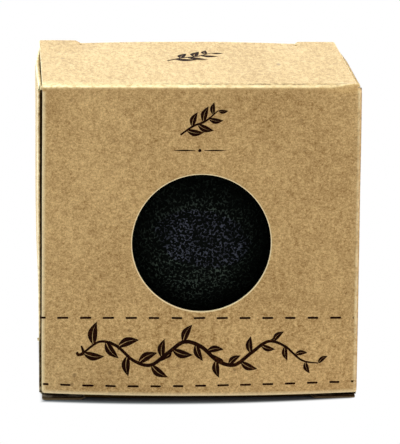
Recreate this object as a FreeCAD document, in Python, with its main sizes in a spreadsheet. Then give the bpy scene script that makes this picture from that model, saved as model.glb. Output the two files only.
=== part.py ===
import FreeCAD, Part

import math
import os

import Sketcher

# A small folding carton of kraft board with a round window, and the half-ball konjac sponge in it.
#
# The carton is one die-cut blank: four panels folded into a sleeve and glued at the front left
# corner, a lid hinged on the front panel, a bottom lid hinged on the back panel, a tuck flap on
# each lid and a dust flap at each end of both side panels. Every panel between two creases is a
# sub-part here, so that the creases can turn.
#
# Frame: X runs across the front, from left to right; the front faces -Y; Z is up. The origin is
# in the middle of the carton's foot, on the surface it stands on.

# Each driving dimension: name, value in millimetres or degrees, what it is
DIMENSIONS = [
    ("width", 80.0, "outside of the carton, across the front"),
    ("depth", 46.0, "outside of the carton, front to back, at its folds"),
    ("height", 82.0, "outside of the carton, foot to lid"),
    ("board", 0.45, "thickness of the board"),
    ("fold_radius", 0.6, "outside of the folds between the panels"),
    ("bow", 2.5, "how far the foot of the front panel stands out in its middle"),
    ("seam", 0.6, "from the left side to the raw edge of the front panel"),
    ("glue", 0.1, "thickness of the glue in the seam"),
    ("glue_play", 0.08, "play on each side of the glue in the seam"),
    ("glue_flap_width", 10.0, "reach of the glue flap behind the front panel"),
    ("glue_flap_end", 2.6, "setback of the glue flap's ends at its fold"),
    ("glue_flap_taper", 2.7, "further setback of those ends at its raw edge"),
    ("glue_strip_width", 6.0, "width of the line of glue"),
    ("glue_strip_end", 8.0, "setback of the line of glue from the panel's ends"),
    ("glue_strip_inset", 1.6, "from the front panel's raw edge to the glue"),
    ("crease_gap", 0.05, "play between a panel's edge and the round of the flap it carries"),
    ("flap_gap", 0.1, "play between a lid and the dust flaps under it"),
    ("front_edge_rise", 1.9, "foot of the front panel above the surface"),
    ("back_edge_drop", 0.1, "head of the back panel below the lid"),
    ("window_diameter", 34.9, "round window in the front panel"),
    ("window_rise", 40.2, "middle of the window above the foot of the front panel"),
    ("window_shift", 0.2, "middle of the window to the right of the panel's middle"),
    ("lid_inset_left", 0.8, "edge of the lids inside the left side"),
    ("lid_inset_right", 1.0, "edge of the lids inside the right side"),
    ("ear_width", 10.0, "locking ears at the free corners of the lids"),
    ("ear_corner", 1.5, "rounding of the ears"),
    ("slit_play", 0.4, "between an ear and the tuck flap beside it"),
    ("tuck_length", 12.5, "reach of the tuck flaps"),
    ("tuck_taper", 2.0, "how much each side of a tuck flap draws in"),
    ("tuck_corner", 6.0, "rounding of the tuck flaps"),
    ("tuck_gap", 0.3, "between the root of a tuck flap and the panel it slides behind"),
    ("tuck_lean", 9.0, "inward lean of a tuck flap, in degrees"),
    ("dust_length", 25.0, "reach of the dust flaps"),
    ("dust_relief", 1.5, "start of a dust flap from the wall that carries the lid"),
    ("dust_shoulder", 6.5, "reach of the dust flap's shoulder that the lid's slit catches"),
    ("dust_recess", 5.3, "how far the dust flap stands back from the tuck flap's wall"),
    ("dust_corner", 3.0, "rounding of the dust flaps"),
    ("sponge_room", 4.3, "spare width or height round the sponge"),
    ("sponge_seat", 0.3, "between the sponge and the dust flaps it rests on"),
    ("sponge_back", 0.5, "between the sponge's flat back and the tuck flap behind it"),
    ("sponge_front", 1.9, "between the sponge's dome and the window"),
    ("sponge_edge", 6.0, "rounding of the sponge's rim"),
    ("overrun", 1.0, "how far a cut runs past what it cuts"),
]
DUST_SLANT_SHARE = 0.52


class Size:
    """A number together with the formula that it comes from in the spreadsheet."""

    def __init__(self, number, formula):
        self.number = number
        self.formula = formula

    def _with(self, other, sign, result):
        return Size(result, f"({self.formula} {sign} {as_size(other).formula})")

    def __add__(self, other):
        return self._with(other, "+", self.number + as_size(other).number)

    def __sub__(self, other):
        return self._with(other, "-", self.number - as_size(other).number)

    def __mul__(self, other):
        return self._with(other, "*", self.number * as_size(other).number)

    def __truediv__(self, other):
        return self._with(other, "/", self.number / as_size(other).number)

    def __neg__(self):
        return Size(-self.number, f"(0 - {self.formula})")


def as_size(thing):
    """A plain number as a Size, and a Size as it is."""
    if isinstance(thing, Size):
        return thing
    return Size(float(thing), repr(thing))


def root(size):
    return Size(math.sqrt(size.number), f"sqrt({size.formula})")


def sine(degrees):
    return Size(math.sin(math.radians(degrees.number)), f"sin({degrees.formula} * 1 deg)")


def cosine(degrees):
    return Size(math.cos(math.radians(degrees.number)), f"cos({degrees.formula} * 1 deg)")


def smaller(one, other):
    return Size(min(one.number, other.number), f"min({one.formula}; {other.formula})")


doc = FreeCAD.newDocument("konjac_sponge_carton")
sheet = doc.addObject("Spreadsheet::Sheet", "sizes")


def fill_sheet():
    """Writes the driving dimensions and gives them back as Sizes, by name."""
    sizes = {}
    for row, (name, value, note) in enumerate(DIMENSIONS, start=1):
        sheet.set(f"A{row}", name)
        sheet.set(f"B{row}", str(value))
        sheet.set(f"C{row}", note)
        sheet.setAlias(f"B{row}", name)
        sizes[name] = Size(value, f"sizes.{name}")
    doc.recompute()
    return sizes


S = fill_sheet()
ZERO = as_size(0)

# The planes and edges that several pieces share
board = S["board"]
half_board = board / 2
right = S["width"] / 2
left = -right
front = (S["bow"] - S["depth"]) / 2
back = (S["bow"] + S["depth"]) / 2
top = S["height"]
seam_gap = S["glue"] + S["glue_play"] * 2
glue_face = front + board + seam_gap
fold = S["fold_radius"]
fold_cut = fold * (as_size(1) - cosine(as_size(45)))
seam_edge = left + S["seam"]
front_foot = S["front_edge_rise"]
front_head = top - board - S["crease_gap"]
back_foot = board + S["crease_gap"]
back_head = top - board - S["back_edge_drop"]
side_foot = board + S["flap_gap"] + board + S["crease_gap"]
side_head = top - side_foot
lid_left = left + S["lid_inset_left"]
lid_right = right - S["lid_inset_right"]
tuck_reach = S["tuck_gap"] + S["tuck_length"] * sine(S["tuck_lean"]) + board

# The front panel's bow as an arc from its raw edge to the start of its right fold
bow_chord = right - fold - seam_edge
bow_middle = (right - fold + seam_edge) / 2


def arc_radius(chord, rise):
    """The radius of the arc that rises that far over its chord."""
    return chord * chord / (rise * 8) + rise / 2


bow_radius = arc_radius(bow_chord, S["bow"])


def bow_at(across):
    """How far the bowed foot of the front panel stands out at that place across."""
    off = across - bow_middle
    return root(bow_radius * bow_radius - off * off) - bow_radius + S["bow"]


def straight(across, up):
    """An outline's corner that a straight edge leads to."""
    return across, up, None, 0


def arc(across, up, radius, turn):
    """An outline's corner that an arc leads to; turn is 1 to the left and -1 to the right."""
    return across, up, radius, turn


def own_plane(body, role):
    """One of the body's own origin planes."""
    return next(f for f in body.Origin.OriginFeatures if f.Role == role)


def new_sketch(body, name, role, lift):
    """An empty sketch on one of the body's own planes, lifted off it along its normal."""
    sketch = body.newObject("Sketcher::SketchObject", name)
    sketch.AttachmentSupport = [(own_plane(body, role), "")]
    sketch.MapMode = "FlatFace"
    sketch.setExpression("AttachmentOffset.Base.z", lift.formula)
    return sketch


def arc_geometry(start, end, radius, turn):
    """An arc between two points, drawn to the left as a sketch wants it."""
    chord = end - start
    middle = (start + end) * 0.5
    half = chord.Length / 2
    rise = math.sqrt(max(radius * radius - half * half, 0))
    side = FreeCAD.Vector(-chord.y, chord.x, 0) * (turn * rise / chord.Length)
    centre = middle + side
    circle = Part.Circle(centre, FreeCAD.Vector(0, 0, 1), radius)
    first, last = (start, end) if turn > 0 else (end, start)
    angles = [math.atan2(p.y - centre.y, p.x - centre.x) for p in (first, last)]
    if angles[1] < angles[0]:
        angles[1] += 2 * math.pi
    return Part.ArcOfCircle(circle, angles[0], angles[1])


def outline(body, name, role, corners, lift=ZERO):
    """A closed sketch through the corners, each held by its own two formulas."""
    sketch = new_sketch(body, name, role, lift)
    count = len(corners)
    points = [FreeCAD.Vector(c[0].number, c[1].number, 0) for c in corners]
    edges = []
    ends = []
    for index, (_, _, radius, turn) in enumerate(corners):
        start, end = points[index - 1], points[index]
        if radius is None:
            edges.append(Part.LineSegment(start, end))
        else:
            edges.append(arc_geometry(start, end, radius.number, turn))
        ends.append((2, 1) if turn < 0 else (1, 2))
    sketch.addGeometry(edges, False)
    rules = []
    for index, (across, up, radius, _) in enumerate(corners):
        after = (index + 1) % count
        last = ends[index][1]
        rules.append(Sketcher.Constraint("Coincident", index, last, after, ends[after][0]))
        rules.append(Sketcher.Constraint("DistanceX", -1, 1, index, last, across.number))
        rules.append(Sketcher.Constraint("DistanceY", -1, 1, index, last, up.number))
        if radius is not None:
            rules.append(Sketcher.Constraint("Radius", index, radius.number))
    sketch.addConstraint(rules)
    number = 0
    for across, up, radius, _ in corners:
        sketch.setExpression(f"Constraints[{number + 1}]", across.formula)
        sketch.setExpression(f"Constraints[{number + 2}]", up.formula)
        number += 3
        if radius is not None:
            sketch.setExpression(f"Constraints[{number}]", radius.formula)
            number += 1
    return sketch


def round_sketch(body, name, role, radius, across=ZERO, up=ZERO, lift=ZERO):
    """A sketch of one circle."""
    sketch = new_sketch(body, name, role, lift)
    centre = FreeCAD.Vector(across.number, up.number, 0)
    sketch.addGeometry(Part.Circle(centre, FreeCAD.Vector(0, 0, 1), radius.number), False)
    sketch.addConstraint([
        Sketcher.Constraint("DistanceX", -1, 1, 0, 3, across.number),
        Sketcher.Constraint("DistanceY", -1, 1, 0, 3, up.number),
        Sketcher.Constraint("Radius", 0, radius.number),
    ])
    for number, size in enumerate((across, up, radius)):
        sketch.setExpression(f"Constraints[{number}]", size.formula)
    return sketch


def pad(body, name, sketch, length, side="One side"):
    """Raises a sketch by a length, or to both sides by half of it."""
    feature = body.newObject("PartDesign::Pad", name)
    feature.Profile = sketch
    feature.SideType = side
    feature.setExpression("Length", length.formula)
    doc.recompute()
    return feature


def cut_through(body, name, sketch):
    """Cuts a sketch right through the body, both ways, and makes sure that it cut."""
    before = body.Shape.Volume
    feature = body.newObject("PartDesign::Pocket", name)
    feature.Profile = sketch
    feature.SideType = "Symmetric"
    feature.Type = "ThroughAll"
    doc.recompute()
    if body.Shape.Volume >= before:
        raise ValueError(f"{name} cuts nothing from {body.Label}")
    return feature


def round_corners(body, name, corners, radius):
    """Rounds the edges that stand upright in the body at the given corners."""
    places = [(across.number, up.number) for across, up in corners]
    base = body.Tip
    found = []
    for number, edge in enumerate(body.Shape.Edges, start=1):
        ends = [vertex.Point for vertex in edge.Vertexes]
        if len(ends) != 2 or abs(ends[0].z - ends[1].z) < board.number / 2:
            continue
        for across, up in places:
            if all(math.hypot(p.x - across, p.y - up) < board.number / 10 for p in ends):
                found.append(f"Edge{number}")
    if len(found) != len(places):
        raise ValueError(f"{body.Label} has {len(found)} of its {len(places)} corners")
    feature = body.newObject("PartDesign::Fillet", name)
    feature.Base = (base, found)
    feature.setExpression("Radius", radius.formula)
    doc.recompute()
    return feature


def new_body(label):
    """A sub-part's body, named as its file will be."""
    body = doc.addObject("PartDesign::Body", label)
    body.Label = label
    return body


def place(body, across=ZERO, along=ZERO, up=ZERO, turn_axis=(0, 0, 1), turn=ZERO):
    """Puts a body at its place, turned about one axis by an angle in degrees."""
    body.Placement.Rotation = FreeCAD.Rotation(FreeCAD.Vector(*turn_axis), turn.number)
    for axis, size in zip("xyz", (across, along, up)):
        body.setExpression(f"Placement.Base.{axis}", size.formula)
    body.setExpression("Placement.Rotation.Angle", f"{turn.formula} * 1 deg")


# The sleeve: four panels and the glued seam

def build_sleeve_panel(label, section, foot, head):
    """A flat panel of the sleeve from its section seen from above."""
    body = new_body(label)
    sketch = outline(body, f"{label}_section", "XY_Plane", section, foot)
    pad(body, f"{label}_board", sketch, head - foot)
    return body


def build_right_panel():
    section = [
        straight(right - board, front + board),
        straight(right - fold_cut, front + fold_cut),
        arc(right, front + fold, fold, 1),
        straight(right, back - fold),
        arc(right - fold_cut, back - fold_cut, fold, 1),
        straight(right - board, back - board),
    ]
    return build_sleeve_panel("right_panel", section, side_foot, side_head)


def build_back_panel():
    section = [
        straight(right - board, back - board),
        straight(right - fold_cut, back - fold_cut),
        arc(right - fold, back, fold, 1),
        straight(left + fold, back),
        arc(left + fold_cut, back - fold_cut, fold, 1),
        straight(left + board, back - board),
    ]
    return build_sleeve_panel("back_panel", section, back_foot, back_head)


def build_left_panel():
    section = [
        straight(left + board, back - board),
        straight(left + fold_cut, back - fold_cut),
        arc(left, back - fold, fold, 1),
        straight(left, glue_face + fold),
        arc(left + fold, glue_face, fold, 1),
        straight(left + fold, glue_face + board),
        straight(left + board, glue_face + board),
    ]
    return build_sleeve_panel("left_panel", section, side_foot, side_head)


def front_section(bowed):
    """The front panel from above: raw edge at the left, mitred fold at the right."""
    sweep = arc if bowed else (lambda across, up, radius, turn: straight(across, up))
    return [
        straight(seam_edge, front),
        sweep(right - fold, front, bow_radius, 1),
        arc(right - fold_cut, front + fold_cut, fold, 1),
        straight(right - board, front + board),
        straight(right - fold, front + board),
        sweep(seam_edge, front + board, bow_radius, -1),
    ]


def build_front_panel():
    """The front panel, whose free foot bows outwards, with its round window."""
    body = new_body("front_panel")
    low = outline(body, "front_foot", "XY_Plane", front_section(True), front_foot)
    high = outline(body, "front_head", "XY_Plane", front_section(False), front_head)
    feature = body.newObject("PartDesign::AdditiveLoft", "front_bow")
    feature.Profile = low
    feature.Sections = [high]
    feature.Ruled = True
    doc.recompute()
    across = (right + seam_edge) / 2 + S["window_shift"]
    up = front_foot + S["window_rise"]
    radius = S["window_diameter"] / 2
    window = round_sketch(body, "window_outline", "XZ_Plane", radius, across, up)
    cut_through(body, "window", window)
    return body


def behind_front(across, up, offset):
    """A point at that depth behind the bowed outside of the front panel."""
    fade = (front_head - up) / (front_head - front_foot)
    along = front + offset - bow_at(across) * fade
    return FreeCAD.Vector(across.number, along.number, up.number)


def build_bowed_strip(label, start, end, offset, thickness, setback, taper):
    """A strip that lies along the inside of the front panel and follows its bow.

    It runs up from the foot to the head, set back at both, and further at its end than at
    its start.
    """
    middle = (start + end) / 2

    def edge(up_start, up_end, depth):
        """The edge across the strip at one end of it and at one depth."""
        between = (up_start + up_end) / 2
        return Part.Arc(
            behind_front(start, up_start, depth),
            behind_front(middle, between, depth),
            behind_front(end, up_end, depth),
        ).toShape()

    low = (front_foot + setback, front_foot + setback + taper)
    high = (front_head - setback, front_head - setback - taper)
    outer = [edge(*low, offset), edge(*high, offset)]
    inner = [edge(*low, offset + thickness), edge(*high, offset + thickness)]
    pairs = [outer, inner, (outer[0], inner[0]), (outer[1], inner[1])]
    faces = [Part.makeRuledSurface(*pair) for pair in pairs]
    for number in (0, -1):
        corners = [e.Vertexes[number].Point for e in outer + inner[::-1]]
        faces.append(Part.Face(Part.makePolygon(corners + corners[:1])))
    shell = Part.makeShell(faces)
    shell.sewShape()
    solid = Part.makeSolid(shell)
    if solid.Volume < 0:
        solid.reverse()
    strip = doc.addObject("Part::Feature", label)
    strip.Label = label
    strip.Shape = solid
    return strip


def build_glue_flap():
    """The flap that the left panel glues behind the front panel, tapered at its ends."""
    return build_bowed_strip(
        "glue_flap", left + fold, left + S["glue_flap_width"], board + seam_gap, board,
        S["glue_flap_end"], S["glue_flap_taper"])


def build_glue_strip():
    """The line of glue between the front panel and the glue flap."""
    start = seam_edge + S["glue_strip_inset"]
    return build_bowed_strip(
        "glue_strip", start, start + S["glue_strip_width"], board + S["glue_play"], S["glue"],
        S["glue_strip_end"], ZERO)


# The two ends: each has a lid, its tuck flap and two dust flaps. Every flap is drawn flat, as on
# the blank, with its crease along X through the origin, and is then folded into place.

def build_flap(label, corners, crease_left, crease_right, rounded, radius):
    """A flap of board whose hinged edge is rounded about its crease."""
    body = new_body(label)
    pad(body, f"{label}_board", outline(body, f"{label}_outline", "XY_Plane", corners),
        board, "Symmetric")
    edge = round_sketch(body, f"{label}_crease", "YZ_Plane", half_board, lift=crease_left)
    pad(body, f"{label}_edge", edge, crease_right - crease_left)
    round_corners(body, f"{label}_corners", rounded, radius)
    return body


ear_reach = S["depth"] - half_board
tuck_crease = S["depth"] - half_board - board - S["tuck_gap"] - half_board
lid_reach = tuck_crease - half_board - S["crease_gap"]


def build_lid(label):
    """A lid with a locking ear at each free corner."""
    ear_left = lid_left + S["ear_width"]
    ear_right = lid_right - S["ear_width"]
    corners = [
        straight(lid_left, ZERO),
        straight(lid_right, ZERO),
        straight(lid_right, ear_reach),
        straight(ear_right, ear_reach),
        straight(ear_right, lid_reach),
        straight(ear_left, lid_reach),
        straight(ear_left, ear_reach),
        straight(lid_left, ear_reach),
    ]
    rounded = [(lid_right, ear_reach), (lid_left, ear_reach)]
    return build_flap(label, corners, lid_left, lid_right, rounded, S["ear_corner"])


def build_tuck_flap(label):
    """The flap that slides behind a panel to hold a lid shut."""
    start = lid_left + S["ear_width"] + S["slit_play"]
    end = lid_right - S["ear_width"] - S["slit_play"]
    length = S["tuck_length"]
    taper = S["tuck_taper"]
    corners = [
        straight(start, ZERO),
        straight(end, ZERO),
        straight(end - taper, length),
        straight(start + taper, length),
    ]
    rounded = [(end - taper, length), (start + taper, length)]
    return build_flap(label, corners, start, end, rounded, S["tuck_corner"])


def build_dust_flap(label, hand):
    """A dust flap: slanted towards the lid's crease, with a shoulder towards the tuck flap."""
    middle = S["depth"] / 2
    length = S["dust_length"]
    wall = board + seam_gap + board
    near = wall + S["dust_relief"]
    shoulder = S["depth"] - board - S["tuck_gap"] - S["slit_play"]
    recess = S["depth"] - S["dust_recess"]
    slope_end = S["dust_shoulder"] + shoulder - recess

    def corner(from_wall, reach):
        return straight((from_wall - middle) * hand, reach)

    slant_end = near + length * DUST_SLANT_SHARE
    corners = [
        corner(near, ZERO),
        corner(shoulder, ZERO),
        corner(shoulder, S["dust_shoulder"]),
        corner(recess, slope_end),
        corner(recess, length),
        corner(slant_end, length),
    ]
    rounded = [c[:2] for c in corners[-2:]]
    ends = [corners[0][0], corners[1][0]]
    if hand < 0:
        ends.reverse()
    return build_flap(label, corners, ends[0], ends[1], rounded, S["dust_corner"])


def build_closures():
    """Both ends of the carton; the bottom is the top turned half over."""
    across_x = (1, 0, 0)
    half_turn = as_size(180)
    quarter_turn = as_size(90)
    lean = S["tuck_lean"]
    lid_up = top - half_board
    dust_up = top - board - S["flap_gap"] - half_board
    dust_along = (front + back) / 2
    dust_across = right - half_board
    lid_along = front + half_board
    bottom_along = back - half_board

    pieces = []
    lid = build_lid("top_lid")
    place(lid, along=lid_along, up=lid_up)
    tuck = build_tuck_flap("top_tuck_flap")
    place(tuck, along=lid_along + tuck_crease, up=lid_up,
          turn_axis=across_x, turn=-(quarter_turn + lean))
    pieces += [lid, tuck]
    lid = build_lid("bottom_lid")
    place(lid, along=bottom_along, up=half_board, turn_axis=across_x, turn=half_turn)
    tuck = build_tuck_flap("bottom_tuck_flap")
    place(tuck, along=bottom_along - tuck_crease, up=half_board,
          turn_axis=across_x, turn=quarter_turn - lean)
    pieces += [lid, tuck]
    ends = (("top", dust_up, 1), ("bottom", top - dust_up, -1))
    for end, up, way in ends:
        left_flap = build_dust_flap(f"{end}_dust_flap_left", -way)
        place(left_flap, across=-dust_across, along=dust_along, up=up, turn=-quarter_turn)
        right_flap = build_dust_flap(f"{end}_dust_flap_right", way)
        place(right_flap, across=dust_across, along=dust_along, up=up, turn=quarter_turn)
        pieces += [left_flap, right_flap]
    return pieces


# The sponge: a half ball with a soft rim, its flat back to the back panel

def build_sponge():
    inner_width = S["width"] - board * 2
    inner_height = S["height"] - (board + S["flap_gap"] + board) * 2
    radius = (smaller(inner_width, inner_height) - S["sponge_room"]) / 2
    back_face = back - board - tuck_reach - S["sponge_back"]
    depth = back_face - front - board - S["sponge_front"]
    edge = S["sponge_edge"]
    seat = board + S["flap_gap"] + board + S["sponge_seat"]
    centre = (depth * depth - edge * edge - radius * radius) / ((depth - edge) * 2)
    dome = depth - centre

    body = new_body("sponge")
    profile = outline(body, "sponge_profile", "YZ_Plane", [
        straight(ZERO, ZERO),
        straight(ZERO, radius - edge),
        arc(-edge, radius, edge, 1),
        arc(-depth, ZERO, dome, 1),
    ])
    feature = body.newObject("PartDesign::Revolution", "sponge_dome")
    feature.Profile = profile
    feature.ReferenceAxis = (profile, ["H_Axis"])
    feature.Angle = 360
    place(body, along=back_face, up=seat + radius)
    return body


def build_all():
    """Every sub-part, in the order in which the carton is folded and filled."""
    pieces = [
        build_front_panel(),
        build_right_panel(),
        build_back_panel(),
        build_left_panel(),
        build_glue_flap(),
        build_glue_strip(),
    ]
    pieces += build_closures()
    pieces.append(build_sponge())
    return pieces


def check(pieces):
    """Stops the script if an object failed or a sub-part is not one sound solid."""
    doc.recompute()
    for thing in doc.Objects:
        if "Invalid" in thing.State or "Error" in thing.State:
            raise ValueError(f"{thing.Label} failed: {thing.State}")
    for piece in pieces:
        shape = piece.Shape
        if shape.isNull() or not shape.isValid() or len(shape.Solids) != 1:
            raise ValueError(f"{piece.Label} is not one sound solid")


def write(pieces):
    """Writes each sub-part to its own file."""
    os.makedirs("parts", exist_ok=True)
    for piece in pieces:
        piece.Shape.exportStep(f"parts/{piece.Label}.step")
        box = piece.Shape.BoundBox
        print(
            f"{piece.Label:24s} {piece.Shape.Volume:10.2f} mm3"
            f"  x {box.XMin:7.2f} {box.XMax:7.2f}"
            f"  y {box.YMin:7.2f} {box.YMax:7.2f}  z {box.ZMin:7.2f} {box.ZMax:7.2f}"
        )


all_pieces = build_all()
check(all_pieces)
write(all_pieces)
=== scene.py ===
"""The looks of a small kraft carton with a round window, and of the konjac sponge inside it."""

import logging
import math
from dataclasses import dataclass, field
from enum import Enum
from typing import Callable, Sequence

import bmesh
import bpy
import numpy as np
from bpy.types import Material, Mesh, Node, NodeSocket, NodeTree, Object
from mathutils import Matrix, Vector, geometry, noise


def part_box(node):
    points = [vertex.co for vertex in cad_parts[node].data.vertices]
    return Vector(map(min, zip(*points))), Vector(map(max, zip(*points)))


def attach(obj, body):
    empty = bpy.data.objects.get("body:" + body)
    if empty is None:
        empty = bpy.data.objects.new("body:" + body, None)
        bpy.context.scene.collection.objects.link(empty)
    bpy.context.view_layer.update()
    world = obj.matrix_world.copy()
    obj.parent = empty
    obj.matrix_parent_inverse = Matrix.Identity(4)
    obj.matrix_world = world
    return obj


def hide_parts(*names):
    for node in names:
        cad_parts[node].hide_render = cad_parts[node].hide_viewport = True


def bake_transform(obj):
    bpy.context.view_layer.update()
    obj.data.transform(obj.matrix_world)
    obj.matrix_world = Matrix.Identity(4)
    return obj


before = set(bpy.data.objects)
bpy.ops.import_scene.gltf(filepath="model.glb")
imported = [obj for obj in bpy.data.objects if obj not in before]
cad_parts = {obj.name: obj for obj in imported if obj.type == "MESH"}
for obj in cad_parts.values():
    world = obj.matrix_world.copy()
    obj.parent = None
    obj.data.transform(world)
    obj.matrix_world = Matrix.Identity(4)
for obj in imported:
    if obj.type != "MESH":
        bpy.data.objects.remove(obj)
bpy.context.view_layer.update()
log = logging.getLogger("carton")

# Lengths in this script are millimetres until a mesh is written, which is in metres.
MM = 0.001

Flat = tuple[float, float]
Place = tuple[float, float, float]
Colour = tuple[float, float, float]
Points = np.ndarray
Surface = Callable[[Points, Points], tuple[Points, Points]]
Value = float | NodeSocket


class End(Enum):
    """The two ends of the carton."""

    TOP = "top"
    BOTTOM = "bottom"


class Side(Enum):
    """The two side panels, by the sign of their place across."""

    LEFT = -1
    RIGHT = 1


class Face(Enum):
    """The faces of a board mesh, by the index of their material."""

    OUTSIDE = 0
    INSIDE = 1
    CUT = 2


def smooth_step(value: Points, low: float, high: float) -> Points:
    """A smooth rise from 0 at low to 1 at high."""
    share = np.clip((value - low) / (high - low), 0.0, 1.0)
    return share * share * (3.0 - 2.0 * share)


def corners_of(node: str) -> tuple[Vector, Vector]:
    """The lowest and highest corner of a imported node, in millimetres."""
    low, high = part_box(node)
    return low / MM, high / MM


@dataclass(frozen=True)
class CartonSizes:
    """The carton's planes and lengths, in millimetres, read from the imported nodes.

    The last fields are the finish's own: they lie inside what the nodes leave open.
    """

    seam_edge: float
    left: float
    right: float
    front: float
    back: float
    top: float
    foot: float
    head: float
    bow: float
    side_foot: float
    side_head: float
    back_head: float
    glue_face: float
    glue_end: float
    glue_foot: float
    lid_left: float
    lid_right: float
    lid_end: float
    tuck_left: float
    tuck_right: float
    tuck_back: float
    tuck_foot: float
    dust_front: float
    dust_back: float
    dust_tip: float
    board: float = 0.45
    side_fold: float = 0.6
    lid_fold: float = 0.5
    tuck_fold: float = 0.6
    strip: float = 1.0
    lean: float = math.radians(9.0)
    glue_gap: float = 0.26
    lean: float = math.radians(9.0)

    @classmethod
    def read(cls) -> "CartonSizes":
        """Reads the planes from the boxes of the nodes.

        Returns:
            The sizes, with the finish's own fields as they stand.
        """
        front_low, front_high = corners_of("front_panel")
        side_low, side_high = corners_of("right_panel")
        left_low, _ = corners_of("left_panel")
        _, back_high = corners_of("back_panel")
        lid_low, lid_high = corners_of("top_lid")
        tuck_low, tuck_high = corners_of("top_tuck_flap")
        dust_low, dust_high = corners_of("top_dust_flap_left")
        glue_low, glue_high = corners_of("glue_flap")
        return cls(
            seam_edge=front_low.x, left=left_low.x, right=side_high.x,
            front=lid_low.y, back=back_high.y, top=lid_high.z,
            foot=front_low.z, head=front_high.z, bow=lid_low.y - front_low.y,
            side_foot=side_low.z, side_head=side_high.z, back_head=back_high.z,
            glue_face=front_high.y + cls.glue_gap, glue_end=glue_high.x, glue_foot=glue_low.z,
            lid_left=lid_low.x, lid_right=lid_high.x, lid_end=lid_high.y,
            tuck_left=tuck_low.x, tuck_right=tuck_high.x, tuck_back=tuck_high.y,
            tuck_foot=tuck_low.z, dust_front=dust_low.y, dust_back=dust_high.y,
            dust_tip=dust_high.x,
        )

    @property
    def middle_along(self) -> float:
        """The middle between the front and the back."""
        return (self.front + self.back) / 2


SIZES = CartonSizes.read()


# Folded board: paths, outlines and the mesh of a panel


@dataclass(frozen=True)
class Run:
    """A straight stretch of a folded path."""

    length: float


@dataclass(frozen=True)
class Bend:
    """A rounded fold of a path; a positive angle turns left."""

    radius: float
    angle: float

    @property
    def length(self) -> float:
        """The bend's length along the path."""
        return self.radius * abs(self.angle)


@dataclass(frozen=True)
class FoldPath:
    """The outside of a folded board, seen edge on.

    outside is 1 where the board's outside lies to the left of the way, and -1 to the right.
    """

    start: Flat
    heading: float
    parts: tuple[Run | Bend, ...]
    outside: int

    def stops(self) -> list[float]:
        """How far along the path each part ends."""
        return list(np.cumsum([part.length for part in self.parts]))

    def at(self, along: Points) -> tuple[Points, Points]:
        """Follows the path.

        Args:
            along: how far along the path each point lies.

        Returns:
            The points and the normals that point out, both in the path's own plane.
        """
        place = np.zeros((len(along), 2))
        normal = np.zeros((len(along), 2))
        spot = np.array(self.start, float)
        heading, begun = self.heading, 0.0
        for index, part in enumerate(self.parts):
            here = np.ones(len(along), bool)
            if index > 0:
                here &= along >= begun
            if index < len(self.parts) - 1:
                here &= along < begun + part.length
            way = along[here] - begun
            if isinstance(part, Run):
                turned = np.full(len(way), heading)
                step = np.array([math.cos(heading), math.sin(heading)])
                place[here] = spot + way[:, None] * step
                spot = spot + step * part.length
            else:
                hand = math.copysign(1.0, part.angle)
                centre = spot + hand * part.radius * np.array([-math.sin(heading), math.cos(heading)])
                turned = heading + hand * way / part.radius
                arm = np.stack([np.sin(turned), -np.cos(turned)], 1)
                place[here] = centre + hand * part.radius * arm
                heading += part.angle
                spot = centre + hand * part.radius * np.array([math.sin(heading), -math.cos(heading)])
            normal[here] = self.outside * np.stack([-np.sin(turned), np.cos(turned)], 1)
            begun += part.length
        return place, normal


@dataclass(frozen=True)
class Corner:
    """A corner of a flat outline; raw says whether the edge that follows is a cut one."""

    across: float
    up: float
    radius: float = 0.0
    raw: bool = True


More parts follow.
